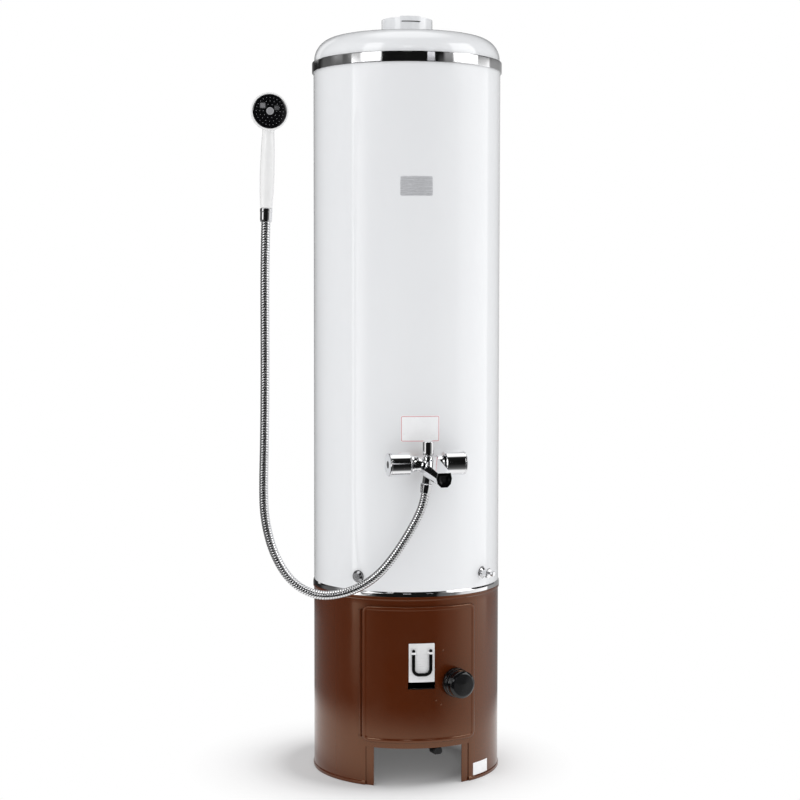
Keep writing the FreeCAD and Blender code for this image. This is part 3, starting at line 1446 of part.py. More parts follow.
def ring_across(edges, reach, radius):
    """A circle square to a path, this far along it, with one diameter level for every ring."""
    for edge in edges:
        if reach <= edge.Length + 1e-6 or edge is edges[-1]:
            break
        reach -= edge.Length
    parameter = edge.getParameterByLength(min(reach, edge.Length))
    along = edge.tangentAt(parameter)
    level = Vector(0, 1, 0)
    circle = Part.Wire([Part.Circle(Vector(), Vector(0, 0, 1), radius).toShape()])
    turn = FreeCAD.Rotation(level, along.cross(level), along, "ZXY")
    circle.Placement = FreeCAD.Placement(edge.valueAt(parameter), turn)
    return circle


def hand_shower(end):
    """Upper hose nut, hand shower, its face and the ring in the face's middle."""
    lean = number("hand_lean")
    bore = "(hand_tail_radius + running_clearance)"
    nut = revolved(
        "hose_nut_upper",
        (
            ("0", "0"),
            ("upper_nut_radius - 1.2", "0"),
            ("upper_nut_radius", "upper_nut_length - 3"),
            ("upper_nut_radius", "upper_nut_length"),
            (bore, "upper_nut_length"),
            (bore, "upper_nut_length - hand_tail_length - 1"),
            ("0", "upper_nut_length - hand_tail_length - 1"),
        ),
    )
    nut.Placement = in_hose_plane(end.x, end.z, lean)

    base = "(upper_nut_length + gap)"
    handle = revolved(
        "handle",
        (
            ("0", "upper_nut_length - hand_tail_length"),
            ("hand_tail_radius", "upper_nut_length - hand_tail_length"),
            ("hand_tail_radius", base),
            ("handle_end_radius", base),
            ("handle_grip_radius", f"{base} + handle_length * 0.42", "6 * handle_length"),
            ("handle_neck_radius", f"{base} + handle_length"),
            ("handle_neck_radius", "head_height - head_radius * 0.45", "handle_neck_radius * 0.8"),
            ("0", "head_height - head_radius * 0.45"),
        ),
    )
    back = "(head_depth - 10)"
    head = revolved(
        "head",
        (
            ("0", f"-{back}"),
            ("head_radius * 0.62", f"-{back}", "head_radius * 0.45"),
            ("head_radius", "-1", "head_radius * 0.3"),
            ("head_radius", "10", "1.2"),
            ("face_radius + seat_gap", "10"),
            ("face_radius + seat_gap", "7"),
            ("0", "7"),
        ),
        plane="XY_Plane",
    )
    body = joined("handset_body", handle, place(head, y="head_forward", z="head_height"))
    crown = "(7 + face_thickness + 1.4)"
    face = revolved(
        "spray_face",
        (
            ("0", "7"),
            ("face_radius", "7"),
            ("face_radius", "7 + face_thickness", "1"),
            ("screw_radius", crown),
            ("0", crown),
        ),
        plane="XY_Plane",
    )
    screw = revolved(
        "face_screw",
        (
            ("0", crown),
            ("screw_radius", crown),
            ("screw_radius - 1", f"{crown} + 1.4"),
            ("0", f"{crown} + 1.4"),
        ),
        plane="XY_Plane",
    )
    # The head looks at the viewer, so all three turn half round with the lean the other way
    upright = FreeCAD.Rotation(Vector(0, 0, 1), number("head_turn"))
    turned = in_hose_plane(end.x, end.z, -lean, 180.0).multiply(FreeCAD.Placement(Vector(), upright))
    middle = FreeCAD.Placement(Vector(0, number("head_forward"), number("head_height")), FreeCAD.Rotation())
    body.Placement = turned
    face.Placement = turned.multiply(middle)
    screw.Placement = turned.multiply(middle)
    return nut, body, face, screw


def door_prism(name, inset):
    """Rounded outline of the door, pushed back to front."""
    half = f"(door_half_width - {inset})"
    low = f"(door_bottom + {inset})"
    high = f"(door_top - {inset})"
    prism = padded(
        name,
        ((f"-{half}", low), (half, low), (half, high), (f"-{half}", high)),
        "door_radius",
        "XZ_Plane",
        both=False,
        offset="60",
    )
    return rounded(
        prism, f"door_corner - {inset}", lambda edge: abs(edge.tangentAt(edge.FirstParameter).y) > 0.9
    )


def air_window(name, near, far, radius):
    """Cutters for the air window of a door sheet, and for its wider foot."""
    high = "window_bottom + window_height"
    foot = "window_bottom + slot_opening_height"
    pane_span = degrees_across("window_width", radius)
    foot_span = degrees_across("slot_opening_width", radius)
    return (
        sector(f"{name}_window", near, far, "window_bottom", high, "0", pane_span),
        sector(f"{name}_window_foot", near, far, "window_bottom", foot, "0", foot_span),
    )


def door_skin():
    """Fire door: pressed tray with a raised border, hinge barrel, air window and spindle hole."""
    back = "(casing_radius + casing_bead / 2)"
    outer_ring = ring("door_outer_ring", back, "door_radius", "door_bottom - 20", "door_top + 20")
    inside = "door_radius - door_wall"
    inner_ring = ring("door_inner_ring", f"{back} - 5", inside, "door_bottom - 30", "door_top + 30")
    beyond = "door_radius + 5"
    front_ring = ring("door_front_ring", PANEL_RADIUS, beyond, "door_bottom - 40", "door_top + 40")
    tray = cut(
        "door_tray",
        shared("door_outer", outer_ring, door_prism("door_prism_outer", "0")),
        shared("door_inner", inner_ring, door_prism("door_prism_inner", "door_wall")),
        shared("door_front", front_ring, door_prism("door_prism_front", "door_border")),
    )
    low = "(door_bottom + hinge_inset)"
    height = "(door_top - door_bottom - 2 * hinge_inset)"
    barrel = cylinder("hinge_barrel", "hinge_radius", height, x=f"-{HINGE_X}", y=f"-{HINGE_Y}", z=low)
    leaf = place(
        block("hinge_leaf", "hinge_offset + door_wall", "door_wall", height),
        x=f"-{HINGE_X} + (hinge_offset + door_wall) / 2",
        y=f"-{HINGE_Y}",
        z=low,
    )
    window = air_window("door", f"{back} - 5", "door_radius + 5", "door_radius")
    bore = cylinder(
        "barrel_bore",
        "hinge_pin_radius + running_clearance",
        f"{height} + 4",
        x=f"-{HINGE_X}",
        y=f"-{HINGE_Y}",
        z=f"{low} - 2",
    )
    spindle_hole = radial(
        "door_spindle_hole",
        (("0", "150"), (SPINDLE_BORE, "150"), (SPINDLE_BORE, "door_radius + 10"), ("0", "door_radius + 10")),
        "knob_azimuth",
        "knob_level",
    )
    near = "liner_radius"
    far = "(door_radius + 5)"
    holes = [*window, bore, spindle_hole]
    for index, (azimuth, level) in enumerate(DOOR_RIVETS, start=1):
        holes.append(
            radial(
                f"rivet_hole_{index}",
                (("0", near), ("rivet_radius * 0.6", near), ("rivet_radius * 0.6", far), ("0", far)),
                str(azimuth),
                str(level),
            )
        )
    return cut("door_skin", joined("door_pressing", tray, barrel, leaf), *holes)


def door_liner():
    """Inner plate of the door: a shallow tray that faces the skin, with an air window."""
    low = "(opening_bottom + liner_margin)"
    high = "(opening_top - liner_margin)"
    rim = "(door_radius - door_wall)"
    outer = sector("liner_outer", "liner_radius", rim, low, high, "0", "2 * liner_half_angle")
    inner = sector(
        "liner_inner",
        "liner_radius + liner_wall",
        f"{rim} + 5",
        f"{low} + liner_wall",
        f"{high} - liner_wall",
        "0",
        "2 * liner_half_angle - 0.75",
    )
    window = air_window("liner", "liner_radius - 5", "liner_radius + 5", "liner_radius")
    hole_radius = "latch_spindle_radius + gap"
    hole = radial(
        "liner_hole",
        (("0", "150"), (hole_radius, "150"), (hole_radius, "liner_radius + 8"), ("0", "liner_radius + 8")),
        "knob_azimuth",
        "knob_level",
    )
    return cut("door_liner", outer, inner, *window, hole)


def spindle_bush():
    """Bush between the two door sheets that the latch spindle turns in."""
    near = "(liner_radius + liner_wall)"
    far = "(door_radius - door_wall - 0.2)"
    points = ((SPINDLE_BORE, near), ("bush_radius", near), ("bush_radius", far), (SPINDLE_BORE, far))
    return radial("spindle_bush", points, "knob_azimuth", "knob_level")


def door_rivets():
    """Rivets that tie the two door sheets together."""
    rivets = []
    shank = "(rivet_radius * 0.6 - seat_gap)"
    for index, (azimuth, level) in enumerate(DOOR_RIVETS, start=1):
        points = (
            ("0", "liner_radius + liner_wall"),
            (shank, "liner_radius + liner_wall"),
            (shank, PANEL_RADIUS),
            ("rivet_radius", PANEL_RADIUS),
            ("rivet_radius * 0.5", f"{PANEL_RADIUS} + rivet_head"),
            ("0", f"{PANEL_RADIUS} + rivet_head"),
        )
        rivets.append(radial(f"door_rivet_{index}", points, str(azimuth), str(level)))
    return group("door_rivets", *rivets)


def hinge_parts():
    """Pin and the two ears on the casing that hold it."""
    low = "(door_bottom + hinge_inset)"
    high = "(door_top - hinge_inset)"
    ear_low = f"({low} - gap - ear_thickness)"
    ear_high = f"({high} + gap)"
    pin = cylinder(
        "hinge_pin",
        "hinge_pin_radius",
        f"{ear_high} - {ear_low} + ear_thickness + 1",
        x=f"-{HINGE_X}",
        y=f"-{HINGE_Y}",
        z=f"{ear_low} - 0.5",
    )
    ears = []
    for name, level in (("lower_ear", ear_low), ("upper_ear", ear_high)):
        eye_radius = "hinge_radius - 0.5"
        eye = cylinder(f"{name}_eye", eye_radius, "ear_thickness", x=f"-{HINGE_X}", y=f"-{HINGE_Y}", z=level)
        web = block(f"{name}_web", "hinge_radius", "14", "ear_thickness")
        place(web, x=f"-{HINGE_X} - 1", y=f"7 - {HINGE_Y}", z=level)
        below = f"{level} - ear_thickness"
        casing = cylinder(f"{name}_casing", "casing_radius", "4 * ear_thickness", z=below)
        hole = cylinder(
            f"{name}_hole",
            "hinge_pin_radius + 0.02",
            "4 * ear_thickness",
            x=f"-{HINGE_X}",
            y=f"-{HINGE_Y}",
            z=below,
        )
        ears.append(cut(name, joined(f"{name}_whole", eye, web), casing, hole))
    return pin, group("hinge_ears", *ears)


def latch_keeper():
    """Block behind the casing's edge that the latch tongue turns under."""
    low = "knob_level - keeper_height / 2"
    high = "knob_level + keeper_height / 2"
    middle = "opening_half_angle + 0.8 + keeper_width / 2"
    outside = f"{CASING_INSIDE} - seat_gap"
    return sector("latch_keeper", "keeper_radius", outside, low, high, middle, "keeper_width")


def latch_parts():
    """Door knob, and the spindle with its tongue; the tongue stands upright when it is free."""
    start = f"({PANEL_RADIUS} + knob_start)"
    end = f"({start} + knob_length)"
    hub = "(latch_spindle_radius + seat_gap)"
    knob = radial(
        "door_knob",
        (
            (hub, start),
            ("knob_neck_radius", start),
            ("knob_neck_radius", f"{start} + 6"),
            ("knob_radius - 1", f"{start} + 6"),
            ("knob_radius", f"{start} + 7"),
            ("knob_radius", f"{start} + 12"),
            ("knob_radius - 1.5", f"{start} + 13"),
            ("knob_radius - 1.5", f"{start} + 15"),
            ("knob_radius - 0.5", f"{start} + 16"),
            ("knob_radius - 0.5", f"{start} + 21"),
            ("knob_face_radius - 0.5", f"{start} + 22.5"),
            ("knob_face_radius - 0.5", f"{start} + 24"),
            ("knob_face_radius", f"{start} + 25"),
            ("knob_face_radius", f"{end} - 3.5"),
            ("knob_face_radius - 1.2", f"{end} - 2.3"),
            ("0", end),
            ("0", f"{start} + 20"),
            (hub, f"{start} + 20"),
        ),
        "knob_azimuth",
        "knob_level",
    )
    rod = revolved(
        "latch_rod",
        (
            ("0", "tongue_distance - 1"),
            ("latch_spindle_radius", "tongue_distance - 1"),
            ("latch_spindle_radius", f"{start} + 19.5"),
            ("0", f"{start} + 19.5"),
        ),
        plane="XY_Plane",
    )
    tongue = place(
        block("latch_tongue", "tongue_width", "tongue_thickness", "tongue_length + tongue_width / 2"),
        y="tongue_distance + tongue_thickness / 2",
        z="-tongue_width / 2",
    )
    bolt = place(joined("latch_bolt", rod, tongue), z="knob_level", turn="knob_azimuth + 180")
    return knob, bolt


def air_slide():
    """Bright curved plate that slides over the air window, its holder, handle and clips."""
    inner = f"({PANEL_RADIUS} + gap)"
    outer = f"({inner} + slide_wall)"
    front = f"({outer} + bail_radius)"
    plate = sector(
        "slide_sheet",
        inner,
        outer,
        "slide_bottom",
        "slide_bottom + slide_height",
        "0",
        degrees_across("slide_width", outer),
    )
    clips = []
    holes = []
    for side, sign in (("left", "-"), ("right", "")):
        outside = block(
            f"clip_{side}_outside",
            "2 * (bail_radius + clip_wall)",
            "bail_radius + clip_wall + 4",
            "clip_height",
        )
        depth = f"({front} + clip_wall + bail_radius - (bail_radius + clip_wall + 4) / 2)"
        place(outside, x=f"{sign}bail_width / 2", y=f"-{depth}", z="clip_level - clip_height / 2")
        clips.append(outside)
        holes.append(
            cylinder(
                f"clip_{side}_hole",
                "bail_radius + seat_gap / 2",
                "4 * clip_height",
                x=f"{sign}bail_width / 2",
                y=f"-{front}",
                z="clip_level - 2 * clip_height",
            )
        )
    trim = cylinder("clip_trim", inner, "4 * clip_height", z="clip_level - 2 * clip_height")
    whole = joined("slide_whole", plate, *clips)
    slide = cut("slide_plate", whole, *holes, trim)

    back = "(door_radius - door_wall - gap)"
    strip = sector(
        "slide_strip",
        f"{back} - slide_keeper_wall",
        back,
        "slide_keeper_level - slide_keeper_height / 2",
        "slide_keeper_level + slide_keeper_height / 2",
        "0",
        degrees_across("slide_keeper_width", back),
    )
    studs = []
    for side, sign in (("left", "-"), ("right", "")):
        stud = revolved(
            f"slide_stud_{side}",
            (
                ("0", f"{back} - slide_keeper_wall - 0.5"),
                ("slide_pin_radius", f"{back} - slide_keeper_wall - 0.5"),
                ("slide_pin_radius", f"{inner} + slide_wall"),
                ("0", f"{inner} + slide_wall"),
            ),
            plane="XY_Plane",
        )
        studs.append(place(stud, x=f"{sign}slide_pin_spacing / 2", z="slide_keeper_level", turn="180"))
    limit = ring("stud_limit", "150", inner, "slide_bottom - 50", "slide_bottom + slide_height")
    holder = shared("slide_keeper", joined("slide_holder", strip, *studs), limit)

    half = number("bail_width") / 2
    level = number("bail_bottom")
    top = level + number("bail_height")
    distance = -number(front)
    corners = [
        Vector(-half, distance, top),
        Vector(-half, distance, level),
        Vector(half, distance, level),
        Vector(half, distance, top),
    ]
    bail_bend = number("bail_corner")
    wire = swept(rounded_path(corners, [bail_bend, bail_bend]), number("bail_radius"))
    return slide, holder, made("slide_bail", wire)


def build():
    """Make every sub-part and mark it."""
    for maker in (
        base_casing,
        leg_frame,
        base_floor,
        damper_pin,
        pan_runners,
        ash_pan,
        grate_frame,
        grate,
        firebricks,
        base_top_plate,
        flue_tube,
        tank_sockets,
        insulation,
        jacket,
        lower_trim,
        upper_band,
        top_cover,
        flue_spigot,
        stickers,
        mixer_body,
        union_nuts,
        aerator,
        diverter_knob,
        door_skin,
        door_liner,
        spindle_bush,
        door_rivets,
        latch_keeper,
    ):
        keep(maker(), maker.__name__)
    keep(tap_sides(), "tap_headworks")
    name_plate = around(
        "name_plate",
        "plate_thickness",
        "name_plate_width",
        "name_plate_height",
        "name_plate_level",
        "name_plate_azimuth",
    )
    thin = 2 * number("plate_thickness")
    keep(rounded(name_plate, "plate_corner", lambda edge: edge.Length < thin), "name_plate")
    for names, items in (
        (("damper_lever", "damper_tip"), damper_parts()),
        (("tank_wall", "tank_head", "fire_crown"), water_tank()),
        (("cold_pipe", "hot_pipe"), water_pipes()),
        (("drain_plug", "plug_gasket"), drain_plug()),
        (("valve_rosette", "drain_valve_body", "valve_spindle"), drain_valve()),
        (("outlet_nipple", "hose_nut_lower"), hose_outlet()),
        (("hinge_pin", "hinge_ears"), hinge_parts()),
        (("door_knob", "latch_bolt"), latch_parts()),
        (("slide_plate", "slide_keeper", "slide_bail"), air_slide()),
    ):
        for name, item in zip(names, items):
            keep(item, name)
    route = hose_route()
    keep(shower_hose(route), "shower_hose")
    names = ("hose_nut_upper", "handset_body", "spray_face", "face_screw")
    for name, item in zip(names, hand_shower(route[-1])):
        keep(item, name)


def check():
    """Stop if any object failed or any sub-part has no valid shape."""
    for item in document.Objects:
        if any(word in item.State for word in ("Invalid", "Error")):
            raise RuntimeError(f"{item.Label} failed: {item.State}")
    for label, item in sub_parts.items():
        shape = item.Shape
        if shape.isNull() or not shape.isValid() or not shape.Solids:
            raise RuntimeError(f"{label} has no valid solid")


build()
document.recompute()
check()
os.makedirs("parts", exist_ok=True)
for label, item in sub_parts.items():
    item.Shape.exportStep(os.path.join("parts", f"{label}.step"))
print("sub-parts", len(sub_parts))
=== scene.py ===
"""Looks of a wood-fired bath stove with a mixer tap, a ribbed hose and a hand shower.

Frame: metres, the origin is the centre of the base ring on the floor, +Z is up, the fire door
faces -Y and +X is to the right of someone who faces the door. Pieces are drawn in millimetres
and scaled when they are finished. An azimuth is counted from the front (-Y) towards +X.
"""

import json
import logging
import math
from dataclasses import dataclass
from enum import Enum
from typing import Callable, Iterable, Optional, Sequence

import bmesh
import bpy
from mathutils import Matrix, Vector

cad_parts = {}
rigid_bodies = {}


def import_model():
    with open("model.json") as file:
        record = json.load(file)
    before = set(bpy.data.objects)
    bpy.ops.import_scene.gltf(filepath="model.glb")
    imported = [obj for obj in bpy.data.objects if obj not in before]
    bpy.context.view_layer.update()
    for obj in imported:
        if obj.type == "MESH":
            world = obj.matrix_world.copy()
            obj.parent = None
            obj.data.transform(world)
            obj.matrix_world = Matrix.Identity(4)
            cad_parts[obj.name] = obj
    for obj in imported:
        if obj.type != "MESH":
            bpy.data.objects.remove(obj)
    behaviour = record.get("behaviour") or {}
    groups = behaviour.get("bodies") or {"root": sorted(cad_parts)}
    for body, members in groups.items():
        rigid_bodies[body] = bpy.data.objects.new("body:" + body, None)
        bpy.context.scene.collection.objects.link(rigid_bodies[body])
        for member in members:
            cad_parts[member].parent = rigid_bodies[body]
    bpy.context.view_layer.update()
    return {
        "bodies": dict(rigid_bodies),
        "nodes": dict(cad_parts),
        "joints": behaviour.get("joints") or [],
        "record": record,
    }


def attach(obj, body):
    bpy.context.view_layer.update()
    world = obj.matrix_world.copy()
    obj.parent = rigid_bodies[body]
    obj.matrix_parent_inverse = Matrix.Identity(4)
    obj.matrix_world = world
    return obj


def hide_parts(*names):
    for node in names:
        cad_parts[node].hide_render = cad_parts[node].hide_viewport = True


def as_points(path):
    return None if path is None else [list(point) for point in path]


LOG = logging.getLogger("bath_stove")
MM = 0.001
MERGE = 0.002
Colour = tuple[float, float, float]
Profile = Sequence[tuple[float, ...]]
Item = bpy.types.Object
Socket = bpy.types.NodeSocket
Opening = Callable[[float, float], bool]
Places = Sequence[float]


class Body(Enum):
    """The moving bodies of the stove."""

    STOVE = "stove"
    DOOR = "door"
    LATCH = "door_latch"
    SLIDE = "air_slide"
    HOT_TAP = "hot_tap"
    COLD_TAP = "cold_tap"
    DIVERTER = "diverter"
    DRAIN_TAP = "drain_tap"
    DAMPER = "damper"
    HAND_SHOWER = "hand_shower"


@dataclass(frozen=True)
class Stove:
    """Sizes that several sub-assemblies share."""

    jacket_radius: float = 188.0
    casing_radius: float = 188.2
    casing_inside: float = 186.7
    base_height: float = 374.5
    jacket_top: float = 1413.0
    cover_top: float = 1474.0
    door_radius: float = 193.0
    mixer_reach: float = 238.0
    mixer_level: float = 639.0
    mixer_turn: float = 7.5
    fitting_level: float = 411.0
    latch_azimuth: float = 19.4
    latch_level: float = 205.5
    view_turn: float = 9.2


STOVE = Stove()


def drum(azimuth: float, level: float, radius: float) -> Vector:
    """A point of a round skin about the stove's axis."""
    a = math.radians(azimuth)
    return Vector((radius * math.sin(a), -radius * math.cos(a), level))


def radial_frame(azimuth: float, level: float) -> Matrix:
    """A frame on the stove's axis: Z points out at this azimuth, X lies along the skin, Y is up."""
    a = math.radians(azimuth)
    along = Vector((math.cos(a), math.sin(a), 0.0))
    frame = Matrix((along, Vector((0, 0, 1)), drum(azimuth, 0.0, 1.0))).transposed().to_4x4()
    return Matrix.Translation((0, 0, level)) @ frame


def mixer_frame() -> Matrix:
    """The mixer's frame: Y points out of the mixer, X along its bar to the hot side."""
    turn = Matrix.Rotation(math.radians(180 + STOVE.mixer_turn), 4, "Z")
    return Matrix.Translation((0, -STOVE.mixer_reach, STOVE.mixer_level)) @ turn


def hose_frame(right: float, up: float, lean: float = 0.0, half_turn: float = 0.0) -> Matrix:
    """A frame in the upright plane that the hose hangs in.

    Args:
        right: distance to the right in that plane.
        up: height over the floor.
        lean: how far the frame leans to the right, in degrees.
        half_turn: a turn about the upright axis, in degrees.

    Returns:
        The frame.
    """
    turn = math.radians(-STOVE.view_turn)
    distance = -STOVE.mixer_reach * math.cos(turn)
    place = Matrix.Rotation(turn, 4, "Z") @ Vector((right, distance, up))
    yaw = Matrix.Rotation(turn + math.radians(half_turn), 4, "Z")
    return Matrix.Translation(place) @ yaw @ Matrix.Rotation(math.radians(lean), 4, "Y")


def along_x(frame: Matrix, sign: float) -> Matrix:
    """A frame whose Z axis is the given frame's X axis, or its opposite."""
    return frame @ Matrix.Rotation(math.radians(90 * sign), 4, "Y")


def rounded(points: Profile, steps: int) -> list[tuple[float, float]]:
    """Round the corners of a closed outline.

    Args:
        points: corners as (x, y) or (x, y, radius).
        steps: pieces of each arc.

    Returns:
        The outline's points.
    """
    out: list[tuple[float, float]] = []
    for index, (x, y, *rounding) in enumerate(points):
        here = Vector((x, y))
        if not rounding:
            out.append((here.x, here.y))
            continue
        radius = rounding[0]
        back = (Vector(points[index - 1][:2]) - here).normalized()
        ahead = (Vector(points[(index + 1) % len(points)][:2]) - here).normalized()
        angle = back.angle(ahead)
        reach = radius / math.tan(angle / 2)
        centre = here + (back + ahead).normalized() * (radius / math.sin(angle / 2))
        start = here + back * reach - centre
        sweep = start.angle_signed(here + ahead * reach - centre)
        for step in range(steps + 1):
            arm = start.copy()
            arm.rotate(Matrix.Rotation(-sweep * step / steps, 2))
            out.append((centre.x + arm.x, centre.y + arm.y))
    return out


def between(low: float, high: float, step: float, marks: Iterable[float] = ()) -> list[float]:
    """Rising places from low to high, no further apart than a step, with some places kept exactly."""
    keys = sorted({low, high, *(mark for mark in marks if low < mark < high)})
    out = []
    for start, end in zip(keys, keys[1:]):
        count = max(1, math.ceil((end - start) / step))
        out += [start + (end - start) * i / count for i in range(count)]
    return out + [high]


def stand(name: str, data: bpy.types.ID) -> Item:
    """Put an object with this data into the scene, at the origin."""
    item = bpy.data.objects.new(name, data)
    bpy.context.scene.collection.objects.link(item)
    return item


def smooth(mesh: bpy.types.Mesh, crease: float) -> None:
    """Shade a mesh smooth, but keep edges sharp that bend more than this many degrees."""
    mesh.shade_smooth()
    mesh.set_sharp_from_angle(angle=math.radians(crease))


def modify(item: Item, name: str, kind: str, **settings: object) -> Item:
    """Add a modifier with these settings and return the object."""
    modifier = item.modifiers.new(name, kind)
    for key, value in settings.items():
        setattr(modifier, key, value)
    return item


def bevel(item: Item, width: float, angle: float) -> Item:
    """Round the edges that bend more than an angle by a width in millimetres."""
    limit = {"limit_method": "ANGLE", "angle_limit": math.radians(angle)}
    return modify(item, "edge", "BEVEL", width=width * MM, segments=2, harden_normals=True, **limit)


def thicken(item: Item, thickness: float) -> Item:
    """Give a sheet its thickness behind its face, in millimetres."""
    return modify(item, "sheet", "SOLIDIFY", thickness=thickness * MM, offset=-1.0)


def settle(item: Item) -> Item:
    """Turn an object and its modifiers into plain mesh, whatever kind of object it is."""
    graph = bpy.context.evaluated_depsgraph_get()
    graph.update()
    mesh = bpy.data.meshes.new_from_object(item.evaluated_get(graph), depsgraph=graph)
    name = item.name
    bpy.data.objects.remove(item)
    mesh.name = name
    return stand(name, mesh)


def present(item: Item, body: Body, slot: str, *nodes: str) -> Item:
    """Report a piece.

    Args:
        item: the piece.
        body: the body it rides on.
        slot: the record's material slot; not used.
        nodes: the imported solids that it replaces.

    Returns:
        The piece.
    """
    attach(item, body.value)
    if nodes:
        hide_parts(*nodes)
    LOG.info("piece %s on %s", item.name, body.value)
    return modify(item, "even_gloss", "WEIGHTED_NORMAL", keep_sharp=True)


class Form:
    """A mesh that is being drawn, in millimetres."""

    def __init__(self, name: str) -> None:
        """Start an empty form under a piece's name."""
        self.name = name
        self.mesh = bmesh.new()

    def grid(
        self,
        rows: Sequence[Sequence[Vector]],
        across: bool = False,
        along: bool = False,
        skip: Callable[[int, int], bool] = lambda row, column: False,
    ) -> list[list[bmesh.types.BMVert]]:
        """Skin rows of points that have equal counts.

        Args:
            rows: the points, row by row.
            across: join each row's end to its start.
            along: join the last row to the first.
            skip: tells by its numbers whether a cell stays open.

        Returns:
            The new vertices, row by row.
        """
        verts = [[self.mesh.verts.new(point) for point in row] for row in rows]
        count = len(verts[0])
        for i in range(len(verts) if along else len(verts) - 1):
            upper = verts[(i + 1) % len(verts)]
            for j in range(count if across else count - 1):
                k = (j + 1) % count
                if not skip(i, j):
                    self.mesh.faces.new((verts[i][j], verts[i][k], upper[k], upper[j]))
        return verts

    def lathe(self, points: Profile, place: Matrix, steps: int, arc: int = 5) -> "Form":
        """Turn a closed outline of (radius, height) about the frame's Z axis.

        Args:
            points: the outline, with a third value where a corner is rounded.
            place: the frame.
            steps: pieces of a full turn.
            arc: pieces of each rounded corner.

        Returns:
            The form itself.
        """
        outline = rounded(points, arc)
        rows = []
        for step in range(steps):
            a = 2 * math.pi * step / steps
            rows.append([place @ Vector((r * math.cos(a), r * math.sin(a), z)) for r, z in outline])
        self.grid(rows, across=True, along=True)
        return self

    def loft(self, sections: Sequence[Sequence[Vector]]) -> "Form":
        """Skin closed sections of equal counts and close both ends."""
        verts = self.grid(sections, across=True)
        self.mesh.faces.new(verts[0][::-1])
        self.mesh.faces.new(verts[-1])
        return self

    def sheet(
        self,
        columns: Sequence[float],
        rows: Sequence[float],
        point: Callable[[float, float], Vector],
        is_open: Opening = lambda column, row: False,
        across: bool = False,
    ) -> "Form":
        """Skin a sheet over two rising lists of places, leaving out the openings.

        Args:
            columns: places across.
            rows: places along.
            point: gives the point of a column and a row.
            is_open: tells whether a cell is open, from its middle.
            across: join the last column to the first.

        Returns:
            The form itself.
        """

        def skip(i: int, j: int) -> bool:
            """Whether the cell of a row's and a column's number is open."""
            right = columns[j + 1] if j + 1 < len(columns) else columns[j] + 1e-3
            return is_open((columns[j] + right) / 2, (rows[i] + rows[i + 1]) / 2)

        self.grid([[point(column, row) for column in columns] for row in rows], across, skip=skip)
        loose = [v for v in self.mesh.verts if not v.link_faces]
        bmesh.ops.delete(self.mesh, geom=loose, context="VERTS")
        return self

    def merge(self) -> None:
        """Join points that lie on each other."""
        bmesh.ops.remove_doubles(self.mesh, verts=self.mesh.verts, dist=MERGE)

    def copy_node(self, node: Item) -> "Form":
        """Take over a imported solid's mesh, with its loose triangles merged."""
        mesh = node.data.copy()
        mesh.transform(Matrix.Scale(1 / MM, 4))
        self.mesh.from_mesh(mesh)
        bpy.data.meshes.remove(mesh)
        self.merge()
        return self

    def object(self, finish: "Finish | Recipe", crease: float = 32.0, outwards: bool = True) -> Item:
        """Make the finished object.

        Args:
            finish: its finish, or the recipe of its material.
            crease: edges sharper than this many degrees stay sharp.
            outwards: turn all faces outwards, for closed forms.

        Returns:
            The object, in metres, at the origin.
        """
        self.merge()
        if outwards:
            bmesh.ops.recalc_face_normals(self.mesh, faces=self.mesh.faces)
        bmesh.ops.scale(self.mesh, vec=(MM, MM, MM), verts=self.mesh.verts)
        data = bpy.data.meshes.new(self.name)
        self.mesh.to_mesh(data)
        self.mesh.free()
        smooth(data, crease)
        data.materials.append(finish.material())
        return stand(self.name, data)


def turned(
    name: str,
    profile: Profile,
    place: Matrix,
    steps: int,
    finish: "Finish",
    report: tuple,
    arc: int = 5,
    crease: float = 32.0,
) -> Item:
    """Turn a piece about its frame's Z axis and report it.

    Args:
        name: its name.
        profile: its outline as (radius, height), with a third value where a corner is rounded.
        place: its frame.
        steps: pieces of a full turn.
        finish: its finish.
        report: its body, slot and replaced solids.
        arc: pieces of each rounded corner.
        crease: edges sharper than this many degrees stay sharp.

    Returns:
        The piece.
    """
    return present(Form(name).lathe(profile, place, steps, arc).object(finish, crease), *report)


